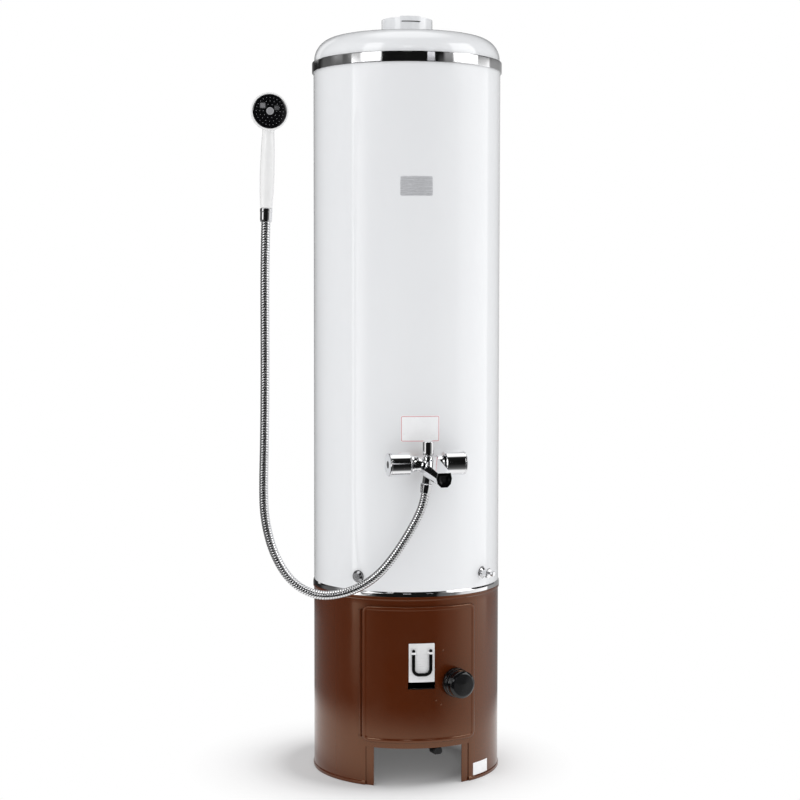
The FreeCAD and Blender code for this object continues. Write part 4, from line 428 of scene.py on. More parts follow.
class Nodes:
    """A node tree that is being wired. Pattern scales are per metre of the object."""

    def __init__(self, tree: bpy.types.NodeTree) -> None:
        """Take the tree."""
        self.tree = tree

    def feed(self, node: bpy.types.Node, feeds: dict) -> None:
        """Give inputs, by name or number, a value, another node's output or its first output."""
        for key, value in feeds.items():
            socket = node.inputs[key]
            if isinstance(value, bpy.types.Node):
                value = value.outputs[0]
            if isinstance(value, Socket):
                self.tree.links.new(value, socket)
            elif isinstance(value, tuple) and len(value) == 3 and socket.type == "RGBA":
                socket.default_value = (*value, 1.0)
            else:
                socket.default_value = value

    def add(self, kind: str, feeds: Optional[dict] = None, **settings: object) -> bpy.types.Node:
        """Add a node with its inputs and its other settings."""
        node = self.tree.nodes.new(kind)
        for key, value in settings.items():
            setattr(node, key, value)
        self.feed(node, feeds or {})
        return node

    def place(self, scale: Colour = (1.0, 1.0, 1.0)) -> Socket:
        """Object coordinates, stretched."""
        where = self.add("ShaderNodeTexCoord").outputs["Object"]
        return self.add("ShaderNodeMapping", {"Vector": where, "Scale": scale}).outputs[0]

    def noise(self, scale: float, detail: float, rough: float = 0.5, where: object = None) -> Socket:
        """A noise of this many spots per metre."""
        feeds = {"Vector": where or self.place(), "Scale": scale, "Detail": detail, "Roughness": rough}
        return self.add("ShaderNodeTexNoise", feeds).outputs["Fac"]

    def spread(self, value: Socket, low: float, high: float, start: float = 0.3, end: float = 0.7) -> Socket:
        """Map a value between start and end onto a range from low to high."""
        feeds = {"Value": value, "From Min": start, "From Max": end, "To Min": low, "To Max": high}
        return self.add("ShaderNodeMapRange", feeds).outputs["Result"]

    def blend(self, factor: object, first: object, second: object) -> Socket:
        """Mix two colours."""
        return self.add("ShaderNodeMix", {0: factor, 6: first, 7: second}, data_type="RGBA").outputs[2]

    def maths(self, operation: str, *values: object) -> Socket:
        """The result of a sum."""
        return self.add("ShaderNodeMath", dict(enumerate(values)), operation=operation).outputs[0]

    def bump(self, height: Socket, depth: float, below: Optional[Socket] = None) -> Socket:
        """Relief of a depth in millimetres, over another relief."""
        feeds = {"Height": height, "Distance": depth * MM, "Strength": 1.0}
        if below:
            feeds["Normal"] = below
        return self.add("ShaderNodeBump", feeds).outputs["Normal"]

    def ramp(self, value: Socket, stops: Profile, low: float = 0.0, high: float = 1.0) -> Socket:
        """Grey levels from (place, level) stops between low and high."""
        node = self.add("ShaderNodeValToRGB", {"Fac": value})
        marks = node.color_ramp.elements
        for index, (place, level) in enumerate(stops):
            share = (place - low) / (high - low)
            stop = marks[index] if index < 2 else marks.new(share)
            stop.position = share
            stop.color = (level, level, level, 1)
        return node.outputs["Color"]


class Recipe(Nodes):
    """A node material that is being mixed."""

    def __init__(self, name: str, **sockets: object) -> None:
        """Start a material with plain values of its shader's sockets."""
        self.result = bpy.data.materials.new(f"{name}_finish")
        self.result.use_nodes = True
        super().__init__(self.result.node_tree)
        self.shader = self.tree.nodes["Principled BSDF"]
        self.give(**sockets)

    def material(self) -> bpy.types.Material:
        """The material as it stands."""
        return self.result

    def give(self, **sockets: object) -> bpy.types.Material:
        """Give the shader's sockets values or patterns, with _ for a space in their names."""
        self.feed(self.shader, {key.replace("_", " "): value for key, value in sockets.items()})
        return self.result


@dataclass(frozen=True)
class Enamel:
    """Stove enamel: glossy, with a faint orange peel and a thin film of dust."""

    name: str
    colour: Colour
    shade: Colour
    roughness: float
    gloss: float
    peel: float
    mirror: float = 0.5
    tint: Colour = (1.0, 1.0, 1.0)

    def material(self) -> bpy.types.Material:
        """Mix the material."""
        r = Recipe(self.name, Coat_Weight=self.gloss, Coat_Roughness=0.03, IOR=1.5)
        r.give(Specular_IOR_Level=self.mirror, Specular_Tint=self.tint)
        cloud = r.spread(r.noise(5.0, 4.0, 0.6), 0.0, 0.35)
        speck = r.spread(r.noise(900.0, 1.0), 0.0, 0.12, 0.68, 0.8)
        colour = r.blend(speck, r.blend(cloud, self.colour, self.shade), self.shade)
        rough = r.spread(r.noise(14.0, 5.0, 0.7), self.roughness * 0.8, self.roughness * 1.35)
        wave = r.bump(r.noise(18.0, 1.0), self.peel * 3.0, r.bump(r.noise(260.0, 2.0), self.peel))
        return r.give(Base_Color=colour, Roughness=rough, Normal=wave)


@dataclass(frozen=True)
class Metal:
    """Bare or plated metal, with a grain and fine rubbing marks."""

    name: str
    colour: Colour
    roughness: float
    grain: Colour
    depth: float
    tarnish: float
    dark: float = 0.75
    metallic: float = 1.0

    def material(self) -> bpy.types.Material:
        """Mix the material."""
        r = Recipe(self.name, Metallic=self.metallic)
        lines = r.noise(1.0, 4.0, 0.6, r.place(self.grain))
        stain = r.spread(r.noise(22.0, 5.0, 0.65), 0.0, self.tarnish * 3.0)
        colour = r.blend(stain, self.colour, tuple(channel * self.dark for channel in self.colour))
        rough = r.spread(lines, self.roughness * 0.7, self.roughness * 1.4 + 0.02)
        return r.give(Base_Color=colour, Roughness=rough, Normal=r.bump(lines, self.depth))


@dataclass(frozen=True)
class Plastic:
    """Moulded plastic or rubber, with a fine skin and slight wear in its sheen."""

    name: str
    colour: Colour
    roughness: float
    coat: float
    skin: float
    skin_scale: float
    mirror: float = 0.5

    def material(self) -> bpy.types.Material:
        """Mix the material."""
        r = Recipe(self.name, Coat_Weight=self.coat, Coat_Roughness=0.08, IOR=1.48)
        r.give(Specular_IOR_Level=self.mirror)
        lighter = tuple(min(1.0, channel * 1.08 + 0.002) for channel in self.colour)
        colour = r.blend(r.spread(r.noise(35.0, 4.0, 0.6), 0.0, 0.6), self.colour, lighter)
        rough = r.spread(r.noise(60.0, 4.0, 0.6), self.roughness * 0.8, self.roughness * 1.3)
        relief = r.bump(r.noise(self.skin_scale, 1.0), self.skin)
        return r.give(Base_Color=colour, Roughness=rough, Normal=relief)


@dataclass(frozen=True)
class Mineral:
    """Grainy or fibrous stuff: cast iron, fire brick, mineral wool."""

    name: str
    colour: Colour
    grit: Colour
    scale: float
    depth: float
    metallic: float = 0.0
    stretch: Colour = (1.0, 1.0, 1.0)

    def material(self) -> bpy.types.Material:
        """Mix the material."""
        r = Recipe(self.name, Metallic=self.metallic, Roughness=0.85)
        where = r.place(self.stretch)
        grain = r.noise(self.scale, 6.0, 0.7, where)
        cells = r.add("ShaderNodeTexVoronoi", {"Vector": where, "Scale": self.scale * 0.6})
        pits = r.spread(cells.outputs["Distance"], 0.0, 1.0, 0.0, 0.35)
        colour = r.blend(r.spread(grain, 0.0, 1.0), self.colour, self.grit)
        return r.give(Base_Color=colour, Normal=r.bump(pits, self.depth, r.bump(grain, self.depth)))


class Finish(Enum):
    """The stove's finishes."""

    WHITE = Enamel("white_enamel", (0.80, 0.81, 0.82), (0.76, 0.77, 0.785), 0.07, 0.35, 0.003)
    BROWN = Enamel(
        "brown_enamel", (0.076, 0.0145, 0.0032), (0.066, 0.0123, 0.0027), 0.15, 0.0, 0.006, 1.0,
        tint=(1.0, 0.7, 0.48),
    )
    CHROME = Metal("chrome", (0.86, 0.86, 0.87), 0.035, (30.0, 30.0, 30.0), 0.0015, 0.05, 0.9)
    BRIGHT = Metal("bright_steel", (0.74, 0.74, 0.75), 0.10, (30.0, 30.0, 900.0), 0.002, 0.06, 0.9)
    SLIDE = Metal("slide_steel", (0.88, 0.88, 0.88), 0.33, (60.0, 60.0, 1500.0), 0.005, 0.12, 0.85, 0.2)
    PLAIN = Metal("plain_steel", (0.34, 0.33, 0.32), 0.36, (25.0, 25.0, 25.0), 0.02, 0.25, 0.6)
    TANK = Metal("tank_steel", (0.42, 0.43, 0.44), 0.42, (60.0, 60.0, 60.0), 0.03, 0.2, 0.7)
    HOSE = Metal("hose_steel", (0.88, 0.88, 0.89), 0.2, (200.0, 200.0, 200.0), 0.002, 0.05, 0.85)
    CAP = Plastic("cap_grey", (0.60, 0.61, 0.63), 0.3, 0.3, 0.002, 600.0)
    COPPER = Metal("copper", (0.78, 0.42, 0.28), 0.24, (50.0, 50.0, 50.0), 0.005, 0.3, 0.6)
    PLATE = Metal("plate_aluminium", (0.68, 0.69, 0.71), 0.24, (35.0, 35.0, 1600.0), 0.005, 0.12, 0.8, 0.35)
    NICKEL = Metal("nickel", (0.40, 0.40, 0.41), 0.20, (40.0, 40.0, 40.0), 0.004, 0.1, 0.8)
    KNOB = Plastic("knob_black", (0.003, 0.003, 0.0034), 0.1, 0.4, 0.001, 700.0, 0.3)
    WIRE = Plastic("wire_black", (0.0015, 0.0015, 0.0015), 0.2, 0.0, 0.002, 900.0, 0.15)
    TIP = Plastic("tip_black", (0.006, 0.006, 0.0065), 0.4, 0.0, 0.01, 900.0, 0.3)
    HANDSET = Plastic("handset_white", (0.80, 0.80, 0.795), 0.22, 0.35, 0.002, 600.0)
    SPRAY = Plastic("spray_black", (0.0025, 0.0025, 0.003), 0.05, 1.0, 0.0, 500.0, 0.6)
    NOZZLE = Plastic("nozzle_grey", (0.20, 0.20, 0.21), 0.35, 0.0, 0.004, 900.0)
    FACE_GREY = Plastic("face_grey", (0.30, 0.30, 0.31), 0.3, 0.2, 0.003, 900.0)
    RUBBER = Plastic("rubber", (0.018, 0.018, 0.018), 0.6, 0.0, 0.02, 1200.0)
    FILM = Plastic("label_film", (0.88, 0.885, 0.89), 0.3, 0.15, 0.002, 400.0)
    FILM_RED = Plastic("label_border", (0.62, 0.21, 0.24), 0.35, 0.1, 0.002, 400.0)
    IRON = Mineral("cast_iron", (0.035, 0.034, 0.033), (0.075, 0.070, 0.066), 420.0, 0.25, 0.4)
    BRICK = Mineral("fire_brick", (0.50, 0.36, 0.24), (0.62, 0.50, 0.37), 240.0, 0.6)
    WOOL = Mineral("mineral_wool", (0.52, 0.46, 0.25), (0.66, 0.60, 0.40), 160.0, 1.6, 0.0, (1.0, 1.0, 5.0))

    def material(self) -> bpy.types.Material:
        """The finish's material, mixed once."""
        found = bpy.data.materials.get(f"{self.value.name}_finish")
        return found or self.value.material()


@dataclass
class Studio:
    """White studio: floor, soft lamps, the surroundings that gloss reflects, and the camera."""

    focal_pixels: float = 1706.468
    picture: float = 800.0
    sensor: float = 36.0
    distance: float = 3.47235
    height: float = 0.94994
    pitch: float = 0.05845
    yaw: float = -0.00374
    roll: float = 0.00136

    GLOW = 0.93
    WALLS = (
        (-180, 0.03), (-156, 0.05), (-150, 0.6), (-137, 0.7), (-133, 0.02), (-124, 0.02), (-121, 0.09),
        (-105, 0.10), (-95, 0.33), (-85, 0.28), (-82, 0.09), (-77, 0.12), (-70, 0.33), (-58, 0.45),
        (-53, 3.0), (-32, 3.0), (-30, 0.006), (44, 0.006), (47, 0.33), (57, 0.36), (59, 3.0), (93, 3.0),
        (95, 0.02), (120, 0.03), (125, 0.14), (140, 0.13), (150, 0.05), (180, 0.03),
    )
    LOW_WALLS = (
        (-180, 0.2), (-150, 0.02), (-130, 0.02), (-120, 0.11), (-70.3, 0.13), (-69, 2.3), (-64, 1.6),
        (-57, 1.05), (-50, 0.4), (-46, 0.15), (-36, 0.008), (37, 0.008), (41, 0.10), (62, 0.18), (72, 0.72),
        (100, 1.05), (117, 1.25), (120, 0.35), (150, 0.30), (180, 0.45),
    )
    BASE_WALLS = (
        (-180, 0.26), (-150, 0.34), (-125, 0.25), (-100, 0.15), (-72, 0.045), (-55, 0.06), (-30, 0.06),
        (-22, 0.006), (34, 0.008), (39, 0.07), (50, 0.27), (65, 0.5), (98, 0.78), (125, 0.6), (150, 0.36),
        (180, 0.3),
    )
    STRIPS = (((0.568, 0.593), (0.138, 0.28), 0.9), ((0.489, 0.517), (0.2, 0.36), 2.2))
    BAND_EDGE = (0.136, 0.140)
    BASE_EDGE = (-0.180, -0.174)
    CEILING = ((-1, 0.01), (0.84, 0.01), (0.91, 1.1), (0.96, 2.0), (1.0, 2.0))
    CEILING_SHARE = ((-1.0, 0.0), (0.58, 0.0), (0.64, 1.0), (1.0, 1.0))
    LAMP_TARGET = 0.75
    LAMPS = (
        ("lamp_left", -80.0, 1.5, 2.6, (1.1, 2.0), 11.0),
        ("lamp_right", 100.0, 1.5, 2.6, (1.2, 2.0), 16.0),
        ("lamp_top", 0.0, 3.4, 0.9, (2.2, 2.2), 4.0),
        ("lamp_front", 5.0, 0.4, 1.25, (0.8, 0.6), 1.1),
    )
    FLOOR_HALF = 9000.0
    FLOOR_LEVEL = -0.4
    SHADOW_CENTRE = (-0.05, 0.01)
    # Painted shadow: the floor's grey level by distance from SHADOW_CENTRE, darker near the stove.
    PAINTED_FLOOR_SHADOW = ((0.0, 0.62), (0.19, 0.62), (0.23, 0.80), (0.28, 0.9), (0.34, 0.95), (0.45, 0.95))
    FADE = (0.18, 0.40)
    PAPER_END = (0.55, 0.75)
    # Painted light: emission strength of the floor beneath the stove, by distance from SHADOW_CENTRE.
    UNDER_GLOW = (0.11, 0.0, 0.15, 0.24)

    def camera(self) -> None:
        """Stand the camera where the photograph was taken from."""
        aligned = Matrix.Rotation(-math.radians(STOVE.view_turn), 3, "Z")
        s, c = math.sin(self.yaw), math.cos(self.yaw)
        sp, cp = math.sin(self.pitch), math.cos(self.pitch)
        sr, cr = math.sin(self.roll), math.cos(self.roll)
        ahead = aligned @ Vector((s * cp, c * cp, -sp))
        side = aligned @ Vector((c, -s, 0))
        above = aligned @ Vector((s * sp, c * sp, cp))
        data = bpy.data.cameras.new("photograph")
        data.sensor_width = self.sensor
        data.lens = self.sensor * self.focal_pixels / self.picture
        data.clip_start, data.clip_end = 0.05, 60.0
        camera = stand("photograph", data)
        frame = Matrix((side * cr + above * sr, above * cr - side * sr, -ahead)).transposed().to_4x4()
        camera.matrix_world = Matrix.Translation(aligned @ Vector((0, -self.distance, self.height))) @ frame
        bpy.context.scene.camera = camera

    def surroundings(self) -> None:
        """White to the eye, an even glow on the object, and softboxes with dark gaps in its gloss."""
        world = bpy.data.worlds.new("studio")
        bpy.context.scene.world = world
        world.use_nodes = True
        world.node_tree.nodes.clear()
        n = Nodes(world.node_tree)
        where = n.add("ShaderNodeTexCoord").outputs["Generated"]
        turned_view = (0.0, 0.0, math.radians(STOVE.view_turn))
        turn = n.add("ShaderNodeMapping", {"Vector": where, "Rotation": turned_view})
        x, y, z = n.add("ShaderNodeSeparateXYZ", {0: turn}).outputs
        azimuth = n.maths("ARCTAN2", x, n.maths("MULTIPLY", y, -1.0))
        share = n.spread(azimuth, 0.0, 1.0, -math.pi, math.pi)
        lift = n.spread(z, 0.0, 1.0, -1.0, 1.0)
        look = n.ramp(share, self.BASE_WALLS, -180, 180)
        for stops, edge in ((self.LOW_WALLS, self.BASE_EDGE), (self.WALLS, self.BAND_EDGE)):
            look = n.blend(n.spread(z, 0.0, 1.0, *edge), look, n.ramp(share, stops, -180, 180))
        for turns, lifts, level in self.STRIPS:
            within = []
            for value, (low, high) in ((share, turns), (z, lifts)):
                within.append(n.maths("COMPARE", value, (low + high) / 2, (high - low) / 2))
            look = n.blend(n.maths("MULTIPLY", *within), look, (level, level, level * 1.04))
        ceiling = n.ramp(lift, self.CEILING, -1, 1)
        gloss = n.blend(n.ramp(lift, self.CEILING_SHARE, -1, 1), look, ceiling)
        rays = n.add("ShaderNodeLightPath").outputs
        glow = n.blend(rays["Is Glossy Ray"], (self.GLOW, self.GLOW, self.GLOW * 1.01), gloss)
        seen = n.maths("MAXIMUM", rays["Is Camera Ray"], rays["Is Transmission Ray"])
        background = n.add("ShaderNodeBackground", {"Color": n.blend(seen, glow, (1.0, 1.0, 1.0))})
        n.add("ShaderNodeOutputWorld", {"Surface": background})

    def lamps(self) -> None:
        """Soft lamps at both sides, overhead and low in front, none of them seen in the gloss."""
        for name, azimuth, height, reach, (width, depth), power in self.LAMPS:
            data = bpy.data.lights.new(name, "AREA")
            data.shape = "RECTANGLE"
            data.size, data.size_y = width, depth
            data.energy = power
            lamp = stand(name, data)
            lamp.location = drum(azimuth - STOVE.view_turn, height, reach)
            lamp.rotation_mode = "QUATERNION"
            aim = Vector((0, 0, self.LAMP_TARGET)) - lamp.location
            lamp.rotation_quaternion = aim.to_track_quat("-Z", "Y")
            lamp.visible_glossy = False
            lamp.visible_camera = False

    def floor(self) -> None:
        """Pale floor that fades into the white surroundings. It takes the stove's real shadow, and near the
        stove it also has a painted shadow in its colour and a painted glow beneath the stove.
        """
        form = Form("floor")
        ends = (-self.FLOOR_HALF, self.FLOOR_HALF)
        form.grid([[Vector((x, y, self.FLOOR_LEVEL)) for x in ends] for y in ends])
        r = Recipe("floor_paper", Roughness=0.8, Specular_IOR_Level=0.1)
        feeds = {0: r.add("ShaderNodeTexCoord").outputs["Object"], 1: (*self.SHADOW_CENTRE, 0.0)}
        away = r.add("ShaderNodeVectorMath", feeds, operation="DISTANCE").outputs["Value"]
        # Painted shadow: the floor's colour darkens towards SHADOW_CENTRE under the stove.
        painted_shadow_tone = r.ramp(away, self.PAINTED_FLOOR_SHADOW)
        paper = r.blend(r.spread(r.noise(60.0, 4.0), 0.0, 0.04), painted_shadow_tone, (0.8, 0.8, 0.8))
        r.give(Base_Color=paper, Normal=r.bump(r.noise(180.0, 3.0), 0.05))
        rays = r.add("ShaderNodeLightPath").outputs
        plain = r.maths("MAXIMUM", rays["Is Camera Ray"], rays["Is Glossy Ray"])
        plain = r.maths("MAXIMUM", plain, rays["Is Transmission Ray"])
        share = r.maths("MULTIPLY", plain, r.spread(away, 0.0, 1.0, *self.FADE))
        # Painted light: the floor beneath the stove glows a little for camera, glossy and transmission rays.
        under = r.maths("MULTIPLY", plain, r.spread(away, *self.UNDER_GLOW))
        lit = r.add("ShaderNodeAddShader", {0: r.shader, 1: r.add("ShaderNodeEmission", {"Strength": under})})
        white = r.add("ShaderNodeEmission", {"Strength": 1.0})
        sweep = r.add("ShaderNodeMixShader", {0: share, 1: lit, 2: white})
        end = r.maths("MULTIPLY", rays["Is Glossy Ray"], r.spread(away, 0.0, 1.0, *self.PAPER_END))
        beyond = r.add("ShaderNodeMixShader", {0: end, 1: sweep, 2: r.add("ShaderNodeBsdfTransparent")})
        out = next(node for node in r.tree.nodes if node.type == "OUTPUT_MATERIAL")
        r.feed(out, {"Surface": beyond})
        form.object(r, outwards=False)

    def build(self) -> None:
        """Set up everything that isn't the stove."""
        self.camera()
        self.surroundings()
        self.lamps()
        self.floor()
        bpy.context.scene.view_settings.view_transform = "Standard"


class Growth(Nodes):
    """A geometry node tree that makes a piece."""

    def __init__(self, name: str, inputs: dict[str, str]) -> None:
        """Start the tree with the kind of each input."""
        super().__init__(bpy.data.node_groups.new(name, "GeometryNodeTree"))
        for label, kind in inputs.items():
            self.tree.interface.new_socket(label, in_out="INPUT", socket_type=f"NodeSocket{kind}")
        self.tree.interface.new_socket("Shape", in_out="OUTPUT", socket_type="NodeSocketGeometry")
        self.given = self.add("NodeGroupInput").outputs

    def dress(self, shape: bpy.types.Node, material: Socket) -> None:
        """End the tree with a shape and its material."""
        real = self.add("GeometryNodeRealizeInstances", {"Geometry": shape})
        dressed = self.add("GeometryNodeSetMaterial", {"Geometry": real, "Material": material})
        self.add("NodeGroupOutput", {"Shape": dressed})

    def grow(self, item: Item, values: dict[str, object]) -> Item:
        """Run the tree on an object and return the plain mesh.

        Args:
            item: the object.
            values: the inputs' values by name.

        Returns:
            The object that takes its place.
        """
        modifier = item.modifiers.new("growth", "NODES")
        modifier.node_group = self.tree
        for socket in self.tree.interface.items_tree:
            if socket.name in values:
                modifier[socket.identifier] = values[socket.name]
        return settle(item)


@dataclass
class ShowerHose:
    """The ribbed steel hose between the mixer and the hand shower, with its two nuts."""

    outlet_shift: float = 6.0
    outlet_tilt: float = 8.0
    nut_start: float = 38.0
    nut_length: float = 19.0
    nut_sides: int = 8
    nut_rings: Profile = ((0, 10.6), (1.2, 11.0), (10, 11.7), (17.2, 12.3), (19, 11.4))
    upper_length: float = 25.5
    upper_radius: float = 11.8
    first_run: float = 22.0
    last_run: float = 82.0
    lean: float = 1.8
    crest: float = 8.6
    root: float = 8.0
    crest_share: float = 1.9
    rib_pitch: float = 4.9
    rings_per_rib: int = 8
    sides: int = 20
    curve_steps: int = 48
    diameter: float = 16.2
    length: float = 1061.7
    route: Profile = (
        (-21.8, -62.0), (-55.2, -116.8), (-92.1, -161.5), (-143.4, -191.5), (-204.1, -200.0),
        (-254.8, -173.8), (-289.6, -118.0), (-306.3, -52.1), (-308.6, 7.5), (-305.5, 117.5),
        (-304.4, 267.5), (-304.7, 432.5),
    )

    def outlet(self) -> Matrix:
        """The frame of the mixer's outlet for the hose, on the bar's axis."""
        right = STOVE.mixer_reach * math.sin(math.radians(STOVE.view_turn)) + self.outlet_shift
        return hose_frame(right, STOVE.mixer_level, self.outlet_tilt)

    def corners(self) -> list[Vector]:
        """The route from the lower nut's mouth to the upper nut, as right and up coordinates."""
        tilt, lean = math.radians(self.outlet_tilt), math.radians(self.lean)
        reach = self.nut_start + self.nut_length
        right = STOVE.mixer_reach * math.sin(math.radians(STOVE.view_turn)) + self.outlet_shift
        mouth = Vector((right - reach * math.sin(tilt), STOVE.mixer_level - reach * math.cos(tilt)))
        points = [mouth, mouth - Vector((math.sin(tilt), math.cos(tilt))) * self.first_run]
        points += [mouth + Vector(point) for point in self.route]
        return points + [points[-1] + Vector((math.sin(lean), math.cos(lean))) * self.last_run]

    def line(self, name: str) -> Item:
        """The hose's centre line as a smooth spline."""
        curve = bpy.data.curves.new(name, "CURVE")
        curve.dimensions = "3D"
        curve.resolution_u = self.curve_steps
        spline = curve.splines.new("NURBS")
        places = [hose_frame(*corner).to_translation() * MM for corner in self.corners()]
        spline.points.add(len(places) - 1)
        for point, place in zip(spline.points, places):
            point.co = (*place, 1.0)
        spline.order_u = 3
        spline.use_endpoint_u = True
        return stand(name, curve)

    def ribs(self) -> Growth:
        """Geometry nodes that wrap a ribbed skin round the centre line."""
        inputs = {"Line": "Geometry", "Ribs": "Int", "Root": "Float", "Crest": "Float", "Steel": "Material"}
        n = Growth("hose_ribs", inputs)
        rings = float(self.rings_per_rib)
        root = n.given["Root"]
        steps = n.maths("ADD", n.maths("MULTIPLY", n.given["Ribs"], rings), 1.0)
        even = n.add("GeometryNodeResampleCurve", {"Curve": n.given["Line"], "Count": steps})
        ring = n.maths("MODULO", n.add("GeometryNodeInputIndex").outputs[0], rings)
        wave = n.maths("SINE", n.maths("MULTIPLY", n.maths("DIVIDE", ring, rings), math.pi))
        swell = n.maths("MINIMUM", n.maths("MULTIPLY", wave, self.crest_share), 1.0)
        rise = n.maths("MULTIPLY", swell, n.maths("SUBTRACT", n.given["Crest"], root))
        reach = n.maths("ADD", root, rise)
        line = n.add("GeometryNodeSetCurveRadius", {"Curve": even, "Radius": reach})
        circle = n.add("GeometryNodeCurvePrimitiveCircle", {"Resolution": self.sides, "Radius": 1.0})
        feeds = {"Curve": line, "Profile Curve": circle, "Fill Caps": True}
        skin = n.add("GeometryNodeCurveToMesh", feeds)
        if "Scale" in skin.inputs:
            n.feed(skin, {"Scale": reach})
        n.dress(skin, n.given["Steel"])
        return n

    def hose(self) -> tuple[Item, list[Vector]]:
        """Make the ribbed hose, with painted shade in the groove between its ribs.

        Returns:
            The hose and the points of its centre line.
        """
        line = self.line("ribbed_hose")
        graph = bpy.context.evaluated_depsgraph_get()
        mesh = bpy.data.meshes.new_from_object(line.evaluated_get(graph), depsgraph=graph)
        path = [vertex.co.copy() for vertex in mesh.vertices]
        bpy.data.meshes.remove(mesh)
        length = sum((b - a).length for a, b in zip(path, path[1:]))
        ribs = round(length / (self.rib_pitch * MM))
        steel = Finish.HOSE.material()
        values = {"Ribs": ribs, "Root": self.root * MM, "Crest": self.crest * MM, "Steel": steel}
        hose = self.ribs().grow(line, values)
        # Painted shade: the faces of each rib's groove take the black wire material.
        hose.data.materials.append(Finish.WIRE.material())
        for face in hose.data.polygons:
            if (face.index // self.sides) % self.rings_per_rib == 0:
                face.material_index = 1
        smooth(hose.data, 50)
        LOG.info("hose centre line %.4f m, %d ribs", length, ribs)
        return hose, path

    def nuts(self) -> list[Item]:
        """The tapered, eight-sided nut at the mixer and the long one at the hand shower."""
        bottom, place = -(self.nut_start + self.nut_length), self.outlet()
        angles = [math.pi * (step + 0.5) / (self.nut_sides / 2) for step in range(self.nut_sides)]
        sections = []
        for up, r in self.nut_rings:
            sections.append([place @ Vector((r * math.cos(a), r * math.sin(a), bottom + up)) for a in angles])
        lower = bevel(Form("lower_hose_nut").loft(sections).object(Finish.CHROME), 0.8, 25)
        r, top = self.upper_radius, self.upper_length
        profile = (
            (0, 0), (r - 1.6, 0, 0.6), (r - 0.6, 4, 2), (r - 0.5, 18, 2), (r, 19.5, 0.6), (r, top, 0.8),
            (r - 3, top), (0, top),
        )
        place = hose_frame(*self.corners()[-1], self.lean)
        return [lower, Form("upper_hose_nut").lathe(profile, place, 72).object(Finish.CHROME)]

    def build(self) -> None:
        hose, path = self.hose()
        lower, upper = self.nuts()
        present(hose, Body.STOVE, "hose_steel", "shower_hose")
        present(lower, Body.STOVE, "mixer_chrome", "hose_nut_lower")
        present(upper, Body.STOVE, "mixer_chrome", "hose_nut_upper")
        hose_frame(*self.corners()[0]).to_translation() * MM
        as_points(path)


@dataclass
class BentPlate:
    """A rounded rectangle of sheet that follows the stove's round skin.

    The profile gives, from the middle to the rim, how far a line lies inside the outline and how
    far it stands from the base radius. Its first line lies a corner radius inside. A flat plate is
    bent in plan only about the front, and a hollow one is its rim alone.
    """

    name: str
    azimuth: float
    half: float
    low: float
    high: float
    corner: float
    radius: float
    profile: Profile
    step: float = 3.0
    marks: Sequence[float] = ()
    levels: Sequence[float] = ()
    flat: bool = False
    hollow: bool = False
    arc_steps: int = 6

    def spot(self, across: float, level: float, radius: float) -> Vector:
        """A point of the plate."""
        if self.flat:
            return Vector((across, -math.sqrt(radius * radius - across * across), level))
        return drum(self.azimuth + math.degrees(across / radius), level, radius)

    def rim(self, inset: float, radius: float, columns: Places, rows: Places) -> list[Vector]:
        """One closed line round the plate."""
        bend = max(self.corner - inset, 0.0)
        left, right, foot, head = columns[0], columns[-1], rows[0], rows[-1]
        sides = (
            ([(x, foot - bend) for x in columns[1:-1]], right, foot, -90),
            ([(right + bend, z) for z in rows[1:-1]], right, head, 0),
            ([(x, head + bend) for x in reversed(columns[1:-1])], left, head, 90),
            ([(left - bend, z) for z in reversed(rows[1:-1])], left, foot, 180),
        )
        out = []
        for line, x, z, start in sides:
            out += line
            for step in range(self.arc_steps + 1):
                a = math.radians(start + 90 / self.arc_steps * step)
                out.append((x + bend * math.cos(a), z + bend * math.sin(a)))
        return [self.spot(x, z, radius) for x, z in out]

    def form(self, is_open: Opening = lambda column, row: False) -> Form:
        """Draw the plate.

        Args:
            is_open: tells whether a cell of its middle is open.

        Returns:
            The form, an open sheet whose faces look out of the stove.
        """
        inner = self.half - self.corner
        columns = between(-inner, inner, self.step, self.marks)
        rows = between(self.low + self.corner, self.high - self.corner, self.step * 3, self.levels)
        form = Form(self.name)
        lines = [(inset, self.radius + rise) for inset, rise in reversed(self.profile)]
        if not self.hollow:
            form.sheet(columns, rows, lambda x, z: self.spot(x, z, lines[-1][1]), is_open)
        form.grid([self.rim(*line, columns, rows) for line in lines], across=True)
        return form


